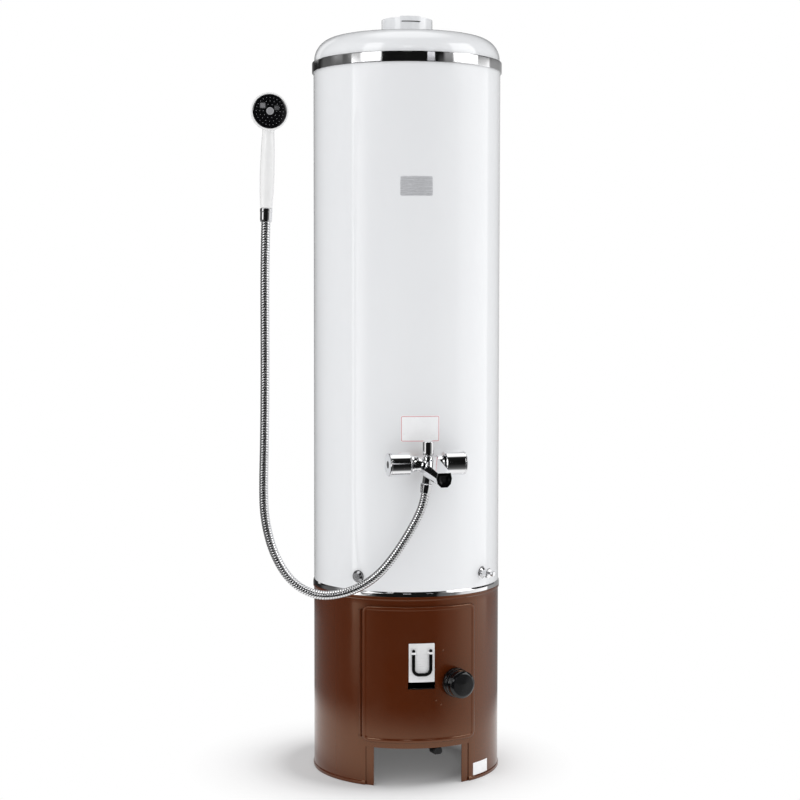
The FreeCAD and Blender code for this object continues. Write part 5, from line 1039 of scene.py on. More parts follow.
@dataclass
class Studs:
    """Small round studs on rings about a frame's Z axis, made by geometry nodes.

    Each ring gives its radius, its height and its count of studs.
    """

    name: str
    rings: Sequence[tuple[float, float, int]]
    foot: float
    tip: float
    rise: float
    sides: int = 8

    def tree(self) -> Growth:
        """The node tree, with an input for every size."""
        inputs = {"Foot": "Float", "Tip": "Float", "Rise": "Float", "Finish": "Material"}
        for index in range(len(self.rings)):
            inputs |= {f"Radius {index}": "Float", f"Height {index}": "Float", f"Count {index}": "Int"}
        n = Growth(self.name, inputs)
        sizes = {"Radius Bottom": n.given["Foot"], "Radius Top": n.given["Tip"], "Depth": n.given["Rise"]}
        stud = n.add("GeometryNodeMeshCone", {"Vertices": self.sides, **sizes})
        gather = n.add("GeometryNodeJoinGeometry")
        for index in range(len(self.rings)):
            feeds = {"Vertices": n.given[f"Count {index}"], "Radius": n.given[f"Radius {index}"]}
            height = n.add("ShaderNodeCombineXYZ", {"Z": n.given[f"Height {index}"]})
            ring = n.add("GeometryNodeMeshCircle", feeds)
            lift = n.add("GeometryNodeTransform", {"Geometry": ring, "Translation": height})
            copies = n.add("GeometryNodeInstanceOnPoints", {"Points": lift, "Instance": stud})
            n.feed(gather, {"Geometry": copies})
        n.dress(gather, n.given["Finish"])
        return n

    def build(self, place: Matrix, finish: Finish) -> Item:
        """Make the studs.

        Args:
            place: the frame, in millimetres.
            finish: their finish.

        Returns:
            The plain mesh.
        """
        values = {"Foot": self.foot * MM, "Tip": self.tip * MM, "Rise": self.rise * MM}
        values["Finish"] = finish.material()
        for i, (radius, height, count) in enumerate(self.rings):
            values |= {f"Radius {i}": radius * MM, f"Height {i}": height * MM, f"Count {i}": count}
        plain = self.tree().grow(stand(self.name, bpy.data.meshes.new(self.name)), values)
        metres = place.copy()
        metres.translation *= MM
        plain.data.transform(metres)
        smooth(plain.data, 40)
        return plain


@dataclass
class Base:
    """The brown fire box: casing with its rolled edges, and the leg frame inside it."""

    opening_half: float = 31.5
    opening: tuple[float, float] = (100.0, 342.0)
    arch: tuple[float, float] = (-34.0, 32.2)
    arch_top: float = 76.0
    strip: float = 5.1
    wall: float = 1.5
    column: float = 2.5
    bead: Profile = (
        (0.0, 1.3), (0.5, 1.7), (1.2, 1.8), (5.0, 1.8), (6.0, 1.45), (6.8, 0.9), (7.4, 0.3), (8.4, 0.0),
    )
    levels: Sequence[float] = (40.0, 76.0, 88.0, 100.0, 140.0, 180.0, 220.0, 260.0, 300.0, 342.0, 356.0)
    ring: Profile = ((0.0, 0.0), (0.0, 76.0), (0.0, 83.0), (0.6, 85.2), (2.0, 86.0), (20.9, 86.0))

    def skin(self, name: str, rows: Places, marks: Places, point: Callable, is_open: Opening) -> Item:
        """Make a brown skin that goes round the base, with column lines at the marks."""
        columns = between(-180, 180 - self.column, self.column, marks)
        form = Form(name).sheet(columns, rows, point, is_open, across=True)
        return thicken(form.object(Finish.BROWN, outwards=False), self.wall)

    def casing(self) -> Item:
        """The casing with the door opening and the arch between the legs."""
        r, top = STOVE.casing_radius, STOVE.base_height
        reach = {z: r + rise for z, rise in self.bead} | {z: r for z in self.levels}
        reach |= {top - z: r + rise for z, rise in reversed(self.bead)}

        def is_open(azimuth: float, level: float) -> bool:
            """Whether a cell lies in the doorway or in the arch."""
            doorway = abs(azimuth) < self.opening_half and self.opening[0] < level < self.opening[1]
            return doorway or (self.arch[0] < azimuth < self.arch[1] and level < self.arch_top)

        marks = (*self.arch, -self.opening_half, self.opening_half)
        return self.skin("casing", list(reach), marks, lambda a, z: drum(a, z, reach[z]), is_open)

    def frame(self) -> Item:
        """The inner ring that stiffens the legs and carries the floor of the ash chamber."""
        low, high = self.arch[0] + self.strip, self.arch[1] - self.strip
        rows = list(range(len(self.ring)))

        def point(azimuth: float, row: int) -> Vector:
            """A point of the ring."""
            inset, level = self.ring[row]
            return drum(azimuth, level, STOVE.casing_inside - 0.1 - inset)

        return self.skin("leg_ring", rows, (low, high), point, lambda a, row: low < a < high and row < 1)

    def build(self) -> None:
        """Make the casing and its leg frame."""
        present(self.casing(), Body.STOVE, "brown_enamel", "base_casing")
        present(self.frame(), Body.STOVE, "brown_enamel", "leg_frame")


@dataclass
class FireDoor:
    """The fire door: pressed tray with a raised border and a T-shaped air window."""

    half: float = 112.6
    low: float = 87.5
    high: float = 355.0
    corner: float = 12.0
    wall: float = 1.35
    window: tuple[float, float, float] = (23.5, 193.5, 262.0)
    foot: tuple[float, float] = (27.0, 208.0)
    hole_reach: float = 8.5
    border: Profile = (
        (12.0, -0.7), (8.6, -0.7), (7.8, -0.64), (7.0, -0.45), (6.2, -0.2), (5.4, -0.04), (4.6, 0.0),
        (2.4, 0.0), (1.5, -0.12), (0.8, -0.42), (0.35, -0.85), (0.08, -1.4), (0.0, -2.0), (0.0, -3.9),
    )

    def build(self) -> None:
        """Make the door's pressed skin."""
        half, foot_level, head_level = self.window
        wide, shelf = self.foot
        across = STOVE.door_radius * math.sin(math.radians(STOVE.latch_azimuth))
        level, reach = STOVE.latch_level, self.hole_reach

        def is_open(x: float, z: float) -> bool:
            """Whether a cell lies in the window or round the knob's spindle."""
            pane = abs(x) < half and foot_level < z < head_level
            foot = abs(x) < wide and foot_level < z < shelf
            return pane or foot or (abs(x - across) < reach and abs(z - level) < reach)

        marks = (-wide, -half, half, wide, across - reach, across + reach)
        levels = (foot_level, shelf, head_level, level - reach, level + reach)
        sizes = (0.0, self.half, self.low, self.high, self.corner, STOVE.door_radius, self.border)
        plate = BentPlate("door_tray", *sizes, 4.0, marks, levels, flat=True)
        skin = thicken(plate.form(is_open).object(Finish.BROWN, outwards=False), self.wall)
        present(skin, Body.DOOR, "brown_enamel", "door_skin")


@dataclass
class DoorKnob:
    """The round black knob of the fire door, with a ribbed ring behind its face."""

    start: float = 193.6
    length: float = 41.0
    ring_radius: float = 28.7
    face_radius: float = 26.7
    neck_radius: float = 14.0
    ridges: int = 64
    ridge: float = 0.62

    def build(self) -> None:
        """Make the knob and the ridges of its ring."""
        place = radial_frame(STOVE.latch_azimuth, STOVE.latch_level)
        s, e = self.start, self.start + self.length
        r, f, n = self.ring_radius, self.face_radius, self.neck_radius
        profile = (
            (4.1, s), (n, s, 0.8), (n, s + 6, 0.5), (r - 0.7, s + 6, 0.8), (r - 0.5, s + 12.4, 0.8),
            (r - 2.0, s + 13.4, 0.3), (r - 2.0, s + 15, 0.4), (r - 0.8, s + 16, 0.6),
            (r - 0.8, s + 20.8, 0.8), (f - 0.9, s + 22.4, 0.4), (f - 0.9, s + 24, 0.4), (f, s + 25.2, 0.6),
            (f, e - 4.4, 3.0), (f - 4.5, e - 1.5, 6.0), (9.0, e - 0.35), (4.0, e - 0.05), (0, e),
            (0, s + 20), (4.1, s + 20),
        )
        report = (Body.LATCH, "knob_black", "door_knob")
        turned("black_knob", profile, place, 96, Finish.KNOB, report, crease=40)
        ring = Studs("knob_ridges", ((r - self.ridge, s + 6.9, self.ridges),), self.ridge, self.ridge, 4.9)
        present(ring.build(place, Finish.KNOB), Body.LATCH, "knob_black")


@dataclass
class AirSlide:
    """The bright plate that slides over the air window, with its black handle and two clips."""

    half: float = 25.5
    low: float = 208.0
    height: float = 76.0
    inner: float = 192.6
    wall: float = 1.2
    corner: float = 1.5
    bail_half: float = 17.0
    bail_radius: float = 3.3
    bail_low: float = 223.5
    bail_high: float = 273.5
    bail_bend: float = 11.0
    bail_sides: int = 16
    bail_steps: int = 8
    bail_ends: Profile = ((0.3, 2.9), (0.7, 2.1), (0.92, 1.2))
    clip_level: float = 266.0
    clip_height: float = 4.0
    clip_back: float = 3.2
    clip_inside: float = 0.76

    def plate(self) -> Item:
        """The curved plate, closed at its back."""
        profile = ((1.5, 0.0), (0.5, 0.0), (0.15, -0.12), (0.0, -0.35), (0.0, -self.wall))
        sizes = (0.0, self.half, self.low, self.low + self.height, self.corner, self.inner + self.wall)
        form = BentPlate("slide_sheet", *sizes, profile).form()
        form.merge()
        rim = [edge for edge in form.mesh.edges if edge.is_boundary]
        bmesh.ops.contextual_create(form.mesh, geom=rim)
        return form.object(Finish.SLIDE, 30)

    def handle(self) -> Item:
        """The U-shaped wire handle with round ends."""
        half, low, bend, radius = self.bail_half, self.bail_low, self.bail_bend, self.bail_radius
        y = -(self.inner + self.wall + radius)
        line = [Vector((-half, y, z)) for z in (self.bail_high, self.bail_high - 2, low + bend)]
        for step in range(1, self.bail_steps + 1):
            a = math.radians(180 + 90 * step / self.bail_steps)
            line.append(Vector((-half + bend * (1 + math.cos(a)), y, low + bend * (1 + math.sin(a)))))
        line += [Vector((-p.x, p.y, p.z)) for p in reversed(line)]
        aheads = [(b - a).normalized() for a, b in zip([line[0], *line], [*line[1:], line[-1]])]
        sides = [ahead.cross(Vector((0, 1, 0))).normalized() for ahead in aheads]
        rings = [(line[0] - aheads[0] * (inset - radius), sides[0], share) for share, inset in self.bail_ends]
        rings += [(point, side, 1.0) for point, side in zip(line[1:-1], sides[1:-1])]
        for share, inset in reversed(self.bail_ends):
            rings.append((line[-1] + aheads[-1] * (inset - radius), sides[-1], share))
        out = Vector((0, -1, 0))
        angles = [2 * math.pi * k / self.bail_sides for k in range(self.bail_sides)]
        loops = []
        for point, side, share in rings:
            reach = radius * share
            loops.append([point + side * (reach * math.cos(a)) + out * (reach * math.sin(a)) for a in angles])
        return Form("slide_handle").loft(loops).object(Finish.WIRE, 50)

    def clips(self) -> Item:
        """The two bright clips round the handle's arms."""
        r, back, share = self.bail_radius + 1.0, self.clip_back, self.clip_inside
        outline = [(r * math.cos(a), -r * math.sin(a)) for a in (math.pi * k / 12 for k in range(13))]
        inside = [(x * share, y * share) for x, y in reversed(outline)]
        loop = [(r, back), *outline, (-r, back), (-r * share, back), *inside, (r * share, back)][::-1]
        y, foot = self.inner + self.wall + self.bail_radius, self.clip_level - self.clip_height / 2
        form = Form("slide_clips")
        for sign in (-1, 1):
            place = Matrix.Translation((sign * self.bail_half, -y, foot))
            form.loft([[place @ Vector((*corner, z)) for corner in loop] for z in (0, self.clip_height)])
        return form.object(Finish.SLIDE, 40)

    def build(self) -> None:
        """Make the slide's pieces."""
        present(self.plate(), Body.SLIDE, "bright_steel", "slide_plate")
        present(self.clips(), Body.SLIDE, "bright_steel")
        present(self.handle(), Body.SLIDE, "handle_black", "slide_bail")


@dataclass
class Tank:
    """The white jacket with its trims, cover, flue collar and bare labels."""

    jacket_wall: float = 1.2
    band: tuple[float, float, float] = (190.9, 1404.5, 1424.5)
    trim_depth: float = 2.0
    cover_skirt: float = 13.0
    cover_rim: float = 1471.0
    cover_shoulder: float = 42.0
    collar_radius: float = 51.0
    # Section of the black sheet of painted shadow that sits in the slit under the strap.
    shadow_sheet: Profile = ((50.0, 1501.6), (50.95, 1501.6), (50.95, 1506.0), (50.0, 1506.0))
    shadow_sheet_half: float = 21.0
    label: tuple[float, ...] = (-0.9, 38.5, 676.5, 727.5, 3.0)
    label_line: tuple[float, ...] = (-0.9, 37.7, 677.3, 726.7, 3.0)
    leg_label: tuple[float, ...] = (43.3, 24.0, 8.0, 33.0, 1.0)
    name_plate: tuple[float, ...] = (-3.35, 31.5, 1150.0, 1187.0, 3.0)
    film: Profile = ((3.0, 0.3), (0.4, 0.3), (0.1, 0.24), (0.0, 0.1), (0.0, 0.0))
    film_line: Profile = ((1.5, 0.31), (0.9, 0.36), (0.3, 0.31))
    leg_film: Profile = ((1.0, 0.3), (0.3, 0.3), (0.0, 0.15), (0.0, 0.0))
    sheet: Profile = ((3.0, 0.8), (0.8, 0.8), (0.25, 0.65), (0.0, 0.35), (0.0, 0.0))

    def rounds(self) -> None:
        """The jacket, the bright rings at its head and foot, and the cover with its round shoulder."""
        r, foot, head, w = STOVE.jacket_radius, STOVE.base_height, STOVE.jacket_top, self.jacket_wall
        axis = Matrix()
        jacket = ((r - w, foot), (r, foot, 0.4), (r, head, 0.4), (r - w, head))
        report = (Body.STOVE, "white_enamel", "jacket")
        turned("white_jacket", jacket, axis, 144, Finish.WHITE, report, 2)
        outer, low, high = self.band
        inner, lip = r + 0.1, r - 0.6
        band = (
            (inner, low), (outer - 0.3, low, 0.25), (outer, low + 1.2, 0.8), (outer, high - 1.2, 0.8),
            (outer - 0.4, high, 0.3), (lip, high, 0.3), (lip, high - 1.5), (inner, high - 1.5),
        )
        report = (Body.STOVE, "bright_steel", "upper_band")
        turned("bright_band", band, axis, 192, Finish.CHROME, report, 3)
        edge = inner + self.trim_depth
        trim = (
            (inner, foot), (edge, foot), (edge, foot + 2.2, 0.6), (inner + 1.5, foot + 6.5, 3.0),
            (inner, foot + 9.5),
        )
        turned("foot_trim", trim, axis, 192, Finish.CHROME, (Body.STOVE, "bright_steel", "lower_trim"), 4)
        r, rim, bend = r - 1.5, self.cover_rim, self.cover_shoulder
        low, top, hole = head - self.cover_skirt, STOVE.cover_top, self.collar_radius + 0.3
        cover = (
            (r - w, low), (r, low), (r, rim, bend), (hole + 6, top - 0.15), (hole, top, 0.4),
            (hole, top - w), (hole + 6, top - w - 0.15), (r - w, rim - w, bend - w),
        )
        report = (Body.STOVE, "white_enamel", "top_cover")
        turned("round_cover", cover, axis, 144, Finish.WHITE, report, 24)

    def strap_painted_shadow(self) -> Item:
        """A black sheet in the slit under the strap that is pressed out of the collar: painted shadow where
        the slit holds only shade.
        """
        sections = []
        for azimuth in between(-self.shadow_sheet_half, self.shadow_sheet_half, 3.0):
            sections.append([drum(azimuth, level, reach) for reach, level in self.shadow_sheet])
        return Form("strap_painted_shadow").loft(sections).object(Finish.TIP)

    def build(self, nodes: dict[str, Item]) -> None:
        """Make the tank's outer pieces.

        Args:
            nodes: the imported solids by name.
        """
        self.rounds()
        collar = Form("flue_collar").copy_node(nodes["flue_spigot"]).object(Finish.WHITE, 30)
        present(bevel(collar, 0.25, 40), Body.STOVE, "white_enamel", "flue_spigot")
        # Painted shadow: the black sheet under the collar's strap.
        present(self.strap_painted_shadow(), Body.STOVE, "white_enamel")
        white, brown = STOVE.jacket_radius + 0.05, STOVE.casing_radius + 0.05
        for name, sizes, radius, profile, finish, slot, *stands_for in (
            ("tap_label", self.label, white, self.film, Finish.FILM, "label_film", "stickers"),
            ("tap_label_line", self.label_line, white, self.film_line, Finish.FILM_RED, "label_film"),
            ("leg_label", self.leg_label, brown, self.leg_film, Finish.FILM, "label_film"),
            ("bare_plate", self.name_plate, white, self.sheet, Finish.PLATE, "plate_metal", "name_plate"),
        ):
            plate = BentPlate(name, *sizes, radius, profile, hollow=profile is self.film_line)
            present(plate.form().object(finish, outwards=False), Body.STOVE, slot, *stands_for)


@dataclass
class Fittings:
    """The plug and the small drain valve at the foot of the jacket."""

    plug_azimuth: float = -39.0
    valve_azimuth: float = 43.5
    reach: float = 188.0
    depth: float = 165.0
    shank: float = 10.4

    def build(self) -> None:
        """Make plug, rosette, valve and its spindle."""
        w, root, r = self.reach, self.depth, self.shank
        place = radial_frame(self.plug_azimuth, STOVE.fitting_level)
        seat, head = w + 1.2, w + 7.8
        plug = (
            (0, root), (r, root), (r, seat), (11.5, seat), (11.5, seat + 2.2, 0.8), (7.4, head, 0.6),
            (0, head),
        )
        turned("plug_cap", plug, place, 48, Finish.NICKEL, (Body.STOVE, "mixer_chrome", "drain_plug"))
        place = radial_frame(self.valve_azimuth, STOVE.fitting_level)
        ring = ((10.5, w), (12.5, w), (12.5, w + 1, 0.3), (11.0, w + 2.5, 0.8), (10.5, w + 2.5))
        turned("valve_ring", ring, place, 48, Finish.CHROME, (Body.STOVE, "mixer_chrome", "valve_rosette"))
        front, back = w + 19.0, w + 13.0
        neck = (
            (0, root), (r, root), (r, w + 3, 0.4), (6.5, w + 4.5, 1.0), (6.5, back, 0.4), (9.0, back, 0.3),
            (10.0, back + 1, 0.4), (10.0, front - 1, 0.4), (9.0, front, 0.3), (2.55, front), (2.55, back - 6),
            (0, back - 6),
        )
        turned("valve_neck", neck, place, 40, Finish.CHROME, (Body.STOVE, "mixer_chrome", "drain_valve_body"))
        knob, end = front + 4.0, front + 11.0
        spindle = (
            (0, back - 4), (2.5, back - 4), (2.5, knob, 0.3), (4.5, knob, 0.3), (5.3, knob + 0.8, 0.4),
            (5.3, end - 0.8, 0.5), (4.5, end, 0.4), (0, end),
        )
        report = (Body.DRAIN_TAP, "mixer_chrome", "valve_spindle")
        turned("valve_handle", spindle, place, 40, Finish.CHROME, report)


@dataclass
class Mixer:
    """The chrome mixer: one faceted wedge of bar and spout, two round knobs and a pull knob."""

    flats: float = 30.0
    half_length: float = 23.0
    spout_start: float = 4.0
    spout_length: float = 112.0
    spout_steps: int = 12
    root_corners: Profile = ((19.5, 15.0), (23.0, -1.0), (22.6, -9.0), (18.5, -15.0))
    tip_corners: Profile = ((12.8, 14.0), (15.2, 3.0), (13.0, -7.5), (6.6, -14.0))
    corner: float = 1.1
    flare: float = 1.35
    spout_drop: float = 20.5
    mouth_depth: float = 5.0
    neck_radius: float = 7.2
    inlet_half: float = 13.0
    diverter_front: float = 12.0
    diverter_level: float = 17.5
    diverter_radius: float = 11.3
    diverter_height: float = 27.0
    knob_start: float = 34.5
    knob_length: float = 42.0
    knob_radius: float = 23.0

    def section(self, share: float) -> list[tuple[float, float]]:
        """The body's eight-sided section, from the bar at 0 to the spout's mouth at 1."""
        narrowing = 1.0 - (1.0 - share) ** self.flare
        half = []
        for (x, z), (tip_x, tip_z) in zip(self.root_corners, self.tip_corners):
            half.append((x + (tip_x - x) * narrowing, z + (tip_z - z) * share))
        return half + [(-x, z) for x, z in reversed(half)]

    def slice(self, forward: float, share: float, scale: float = 1.0) -> list[Vector]:
        """One rounded section of the body, this far in front of the bar's axis."""
        drop = self.spout_drop * share
        outline = rounded([(x * scale, z * scale, self.corner) for x, z in self.section(share)], 2)
        return [mixer_frame() @ Vector((x, forward, z - drop)) for x, z in outline]

    def body(self) -> Item:
        """The cast body, with the diverter's neck, the two inlets and the hose's outlet."""
        place = mixer_frame()
        back, start, end = -self.flats / 2, self.spout_start, self.spout_length
        slices = [self.slice(back, 0.0, 0.84), self.slice(back + 0.9, 0.0, 0.9), self.slice(back + 4.5, 0.0)]
        for step in range(self.spout_steps + 1):
            share = step / self.spout_steps
            slices.append(self.slice(start + (end - 1.0 - start) * share, share * 0.99))
        for forward, scale in ((end, 0.96), (end, 0.88), (end - self.mouth_depth, 0.84)):
            slices.append(self.slice(forward, 1.0, scale))
        form = Form("mixer_cast").loft(slices)
        r, rim = self.neck_radius, self.diverter_level - 0.5
        neck = ((3.2, 0), (r + 2.2, 0), (r + 2.2, 15.2, 1.4), (r, 16.0, 0.5), (r, rim), (3.2, rim))
        form.lathe(neck, place @ Matrix.Translation((0, self.diverter_front, 0)), 48)
        quarter = Matrix.Rotation(math.radians(90), 4, "X")
        for sign in (-1, 1):
            inlet = place @ Matrix.Translation((sign * self.inlet_half, 0, 0)) @ quarter
            form.lathe(((0, 11.0), (9.5, 11.0), (9.5, 19.0, 0.4), (0, 19.0)), inlet, 40)
        outlet = ((0, -19.0), (9.6, -19.0, 0.4), (10.1, -17.5, 0.4), (10.1, 0), (0, 0))
        return form.lathe(outlet, ShowerHose().outlet(), 40).object(Finish.CHROME, 28)

    def mouth(self) -> Item:
        """The dark faceted insert in the spout's mouth."""
        y, drop, outline = self.spout_length - self.mouth_depth + 0.6, self.spout_drop, self.section(1.0)
        loops = []
        for forward, scale in ((y - 6.0, 0.83), (y, 0.83), (y + 1.4, 0.6), (y - 1.5, 0.22)):
            loops.append([mixer_frame() @ Vector((x * scale, forward, z * scale - drop)) for x, z in outline])
        return Form("spout_insert").loft(loops).object(Finish.WIRE, 20)

    def inserts(self) -> Item:
        """The valve inserts between the bar and the knobs."""
        h = self.half_length
        profile = (
            (3.05, h - 12), (7.9, h - 12), (7.9, h - 2), (15.4, h - 2), (16.2, h + 0.8, 0.8),
            (17.2, h + 5.0, 2.0), (16.6, h + 8.6, 1.2), (14.0, h + 9.6, 0.6), (10.0, h + 9.8, 1.0),
            (10.0, h + 22), (3.05, h + 22),
        )
        form = Form("tap_inserts")
        for sign in (-1, 1):
            form.lathe(profile, along_x(mixer_frame(), sign), 48)
        return form.object(Finish.CHROME, 30)

    def tap(self, sign: int, body: Body, name: str) -> None:
        """Make the knob of one side, its end disc and its spindle with the round mark.

        Args:
            sign: 1 for the hot side, -1 for the cold side.
            body: the tap's body.
            name: the side's name.
        """
        place = along_x(mixer_frame(), sign)
        s, r = self.knob_start, self.knob_radius
        e = s + self.knob_length
        knob = (
            (15.0, s), (r - 1.6, s, 0.6), (r, s + 1.8, 1.0), (r, e - 4.6, 0.4), (r - 0.8, e - 4.1, 0.3),
            (r - 0.8, e - 3.6, 0.3), (r, e - 3.1, 0.4), (r, e - 1.4, 0.8), (r - 1.5, e - 0.2, 0.5),
            (r - 2.2, e - 0.2), (r - 2.2, e - 2), (3.1, e - 2), (3.1, e - 18), (15.0, e - 18),
        )
        report = (body, "tap_knob", f"{name}_knob")
        turned(f"{name}_handle", knob, place, 96, Finish.CHROME, report, crease=30)
        disc = (
            (7.2, e - 2), (r - 2.3, e - 2), (r - 2.3, e - 0.2, 0.5), (r - 3.2, e, 0.6), (8.0, e, 0.5),
            (7.2, e - 0.8),
        )
        turned(f"{name}_cap", disc, place, 72, Finish.CAP, (body, "tap_knob"), crease=30)
        stem = ((0, 13.0), (3.0, 13.0), (3.0, e - 1.9), (6.9, e - 1.9), (6.9, e - 0.1, 0.4), (0, e))
        report = (body, "black_inserts", f"{name}_spindle")
        turned(f"{name}_stem", stem, place, 48, Finish.WIRE, report, crease=30)

    def diverter(self) -> None:
        """Make the pull knob that sends the water to the hose."""
        low, r = self.diverter_level, self.diverter_radius
        top = low + self.diverter_height
        profile = (
            (0, -8), (3.0, -8), (3.0, low), (r - 1.2, low, 0.5), (r - 0.3, low + 1.2, 0.6), (r, low + 4, 1.0),
            (r, top - 1.6, 1.4), (r - 3, top, 1.0), (0, top),
        )
        place = mixer_frame() @ Matrix.Translation((0, self.diverter_front, 0))
        report = (Body.DIVERTER, "mixer_chrome", "diverter_knob")
        turned("pull_knob", profile, place, 64, Finish.CHROME, report, crease=30)

    def build(self, nodes: dict[str, Item]) -> None:
        """Make the mixer's pieces.

        Args:
            nodes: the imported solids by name.
        """
        present(self.body(), Body.STOVE, "mixer_chrome", "mixer_body")
        present(self.mouth(), Body.STOVE, "black_inserts", "aerator")
        present(self.inserts(), Body.STOVE, "mixer_chrome", "tap_headworks")
        self.tap(1, Body.HOT_TAP, "hot")
        self.tap(-1, Body.COLD_TAP, "cold")
        self.diverter()
        for name, node, width in (("union_pair", "union_nuts", 0.7), ("outlet_stub", "outlet_nipple", 0.5)):
            item = Form(name).copy_node(nodes[node]).object(Finish.CHROME, 30)
            present(bevel(item, width, 35), Body.STOVE, "mixer_chrome", node)


@dataclass
class HandShower:
    """The white hand shower with its black spray face."""

    nut: float = 25.5
    head_height: float = 206.0
    head_radius: float = 35.6
    head_forward: float = 7.0
    head_depth: float = 16.0
    face_radius: float = 31.8
    face_back: float = 6.6
    turn: float = 10.0
    dome_rise: float = 14.2
    dome_radius: float = 110.0
    voxel: float = 1.0
    nozzle_rings: Profile = ((12.5, 10), (19.0, 16), (25.5, 24))

    def frame(self) -> Matrix:
        """Frame at the end of the hose, with Z along the handle and Y to the face."""
        end = ShowerHose().corners()[-1]
        upright = Matrix.Rotation(math.radians(self.turn), 4, "Z")
        return hose_frame(end.x, end.y, -ShowerHose.lean, 180) @ upright

    def head_frame(self) -> Matrix:
        """Frame in the middle of the head whose Z axis points out of the face."""
        middle = Matrix.Translation((0, self.head_forward, self.head_height))
        return self.frame() @ middle @ Matrix.Rotation(math.radians(-90), 4, "X")

    def shell(self) -> Item:
        """Handle and head in one moulding."""
        base, r, back, seat = self.nut + 0.3, self.head_radius, -self.head_depth, self.face_radius + 0.3
        handle = (
            (0, 14.5), (7.6, 14.5), (7.6, base), (11.4, base, 0.8), (12.9, base + 26, 60),
            (13.9, base + 66, 120), (13.0, base + 112, 120), (11.3, base + 143, 60), (12.6, base + 158, 20),
            (12.6, base + 166), (0, base + 166),
        )
        head = (
            (0, back), (r * 0.35, back, 8), (r * 0.78, back + 5.5, 12), (r - 0.6, -1.0, 8), (r, 8.6, 1.6),
            (r - 1.0, 10, 0.8), (seat, 10, 0.5), (seat, 6.5), (0, 6.5),
        )
        form = Form("hand_shower_shell").lathe(handle, self.frame(), 56)
        item = form.lathe(head, self.head_frame(), 96).object(Finish.HANDSET, 60)
        modify(item, "one_skin", "REMESH", mode="VOXEL", voxel_size=self.voxel * MM, use_smooth_shade=True)
        plain = settle(modify(item, "soften", "SMOOTH", factor=0.5, iterations=7))
        plain.data.materials.clear()
        plain.data.materials.append(Finish.HANDSET.material())
        plain.data.shade_smooth()
        return plain

    def dome(self, reach: float) -> float:
        """Height of the domed face at a distance from its middle."""
        return self.dome_rise - reach * reach / (2 * self.dome_radius)

    def build(self) -> None:
        """Make the hand shower's pieces: shell, domed face, the grey ring in its middle and nozzles."""
        present(self.shell(), Body.HAND_SHOWER, "handset_plastic", "handset_body")
        place, r, back, edge = self.head_frame(), self.face_radius, self.face_back, self.face_radius - 1.4
        front = [(edge - step, self.dome(edge - step)) for step in between(0, edge, 2.6)]
        face = ((0, back), (r, back), (r, 9.2, 0.6), *front)
        report = (Body.HAND_SHOWER, "spray_black", "spray_face")
        turned("spray_disc", face, place, 96, Finish.SPRAY, report, crease=40)
        ring = (
            (0, 13.6), (7, 13.6), (7, 14.4, 0.3), (5.9, 15.1, 0.4), (4.6, 15.1, 0.3), (4.2, 14.4, 0.2),
            (2.6, 14.4, 0.2), (2.2, 15.0, 0.3), (0, 15.0),
        )
        report = (Body.HAND_SHOWER, "face_grey", "face_screw")
        turned("face_ring", ring, place, 48, Finish.FACE_GREY, report, crease=35)
        rings = [(reach, self.dome(reach), count) for reach, count in self.nozzle_rings]
        nozzles = Studs("spray_nozzles", rings, 0.8, 0.5, 0.7)
        present(nozzles.build(place, Finish.NOZZLE), Body.HAND_SHOWER, "spray_black")


@dataclass(frozen=True)
class Carried:
    """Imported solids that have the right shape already, given soft edges of a width and a finish."""

    body: Body
    finish: Finish
    slot: str
    edges: dict[str, float]

    def build(self, nodes: dict[str, Item]) -> None:
        """Dress the pieces.

        Args:
            nodes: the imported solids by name.
        """
        for name, edge in self.edges.items():
            item = Form(f"{name}_piece").copy_node(nodes[name]).object(self.finish, 30, outwards=False)
            if edge:
                bevel(item, edge, 40)
            present(item, self.body, self.slot, name)


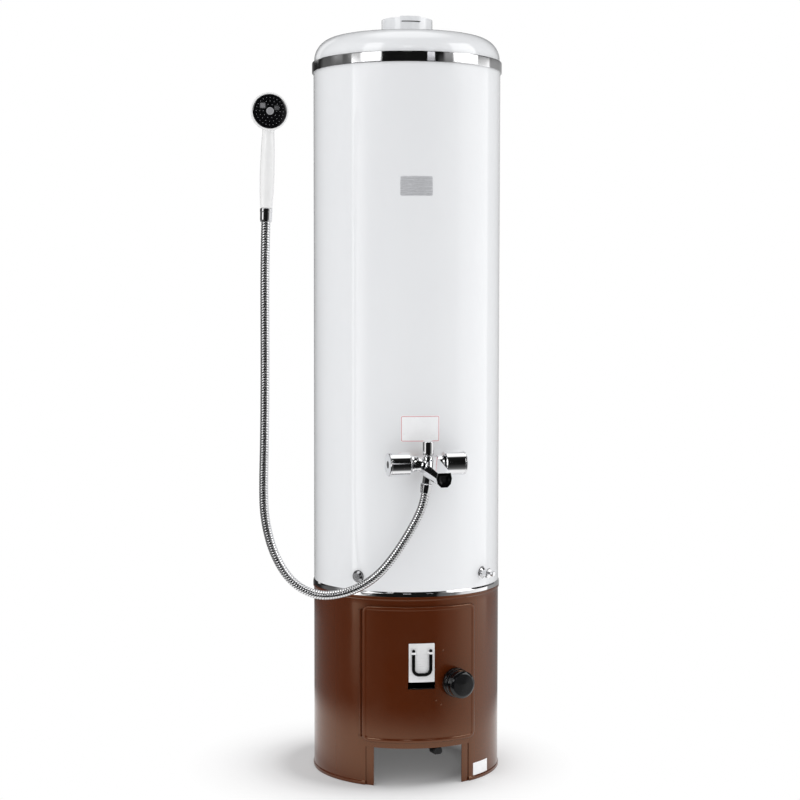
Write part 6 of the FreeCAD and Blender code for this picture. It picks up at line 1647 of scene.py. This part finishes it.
RUNNERS = {"base_floor": 0.3, "damper_pin": 0.0, "pan_runners": 0.3, "ash_pan": 0.0, "grate_frame": 0.4}
VESSEL = {"tank_wall": 0.0, "tank_head": 0.0, "fire_crown": 0.0, "flue_tube": 0.3, "tank_sockets": 0.0}
CARRIED = (
    Carried(Body.STOVE, Finish.PLAIN, "plain_steel", RUNNERS),
    Carried(Body.STOVE, Finish.IRON, "cast_iron", {"grate": 0.0}),
    Carried(Body.STOVE, Finish.BRICK, "fireclay", {"firebricks": 1.0}),
    Carried(Body.STOVE, Finish.PLAIN, "plain_steel", {"base_top_plate": 0.4, "latch_keeper": 0.5}),
    Carried(Body.STOVE, Finish.BROWN, "brown_enamel", {"hinge_pin": 0.2, "hinge_ears": 0.3}),
    Carried(Body.STOVE, Finish.TANK, "tank_steel", VESSEL),
    Carried(Body.STOVE, Finish.WOOL, "mineral_wool", {"insulation": 0.0}),
    Carried(Body.STOVE, Finish.COPPER, "copper_pipe", {"cold_pipe": 0.0, "hot_pipe": 0.0}),
    Carried(Body.STOVE, Finish.RUBBER, "gasket_rubber", {"plug_gasket": 0.2}),
    Carried(Body.DOOR, Finish.PLAIN, "plain_steel", {"door_liner": 0.0}),
    Carried(Body.DOOR, Finish.BRIGHT, "plain_steel", {"spindle_bush": 0.2}),
    Carried(Body.DOOR, Finish.BROWN, "brown_enamel", {"door_rivets": 0.2}),
    Carried(Body.LATCH, Finish.PLAIN, "plain_steel", {"latch_bolt": 0.4}),
    Carried(Body.SLIDE, Finish.PLAIN, "plain_steel", {"slide_keeper": 0.0}),
    Carried(Body.DAMPER, Finish.PLAIN, "damper_steel", {"damper_lever": 0.2}),
    Carried(Body.DAMPER, Finish.TIP, "tip_plastic", {"damper_tip": 0.0}),
)


def main() -> None:
    """Build the studio and every sub-assembly."""
    logging.basicConfig(level=logging.INFO, format="%(name)s: %(message)s")
    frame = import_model()
    nodes = frame["nodes"]
    Studio().build()
    ShowerHose().build()
    Base().build()
    FireDoor().build()
    DoorKnob().build()
    AirSlide().build()
    Tank().build(nodes)
    Fittings().build()
    Mixer().build(nodes)
    HandShower().build()
    for group in CARRIED:
        group.build(nodes)


if __name__ == "__main__":
    main()
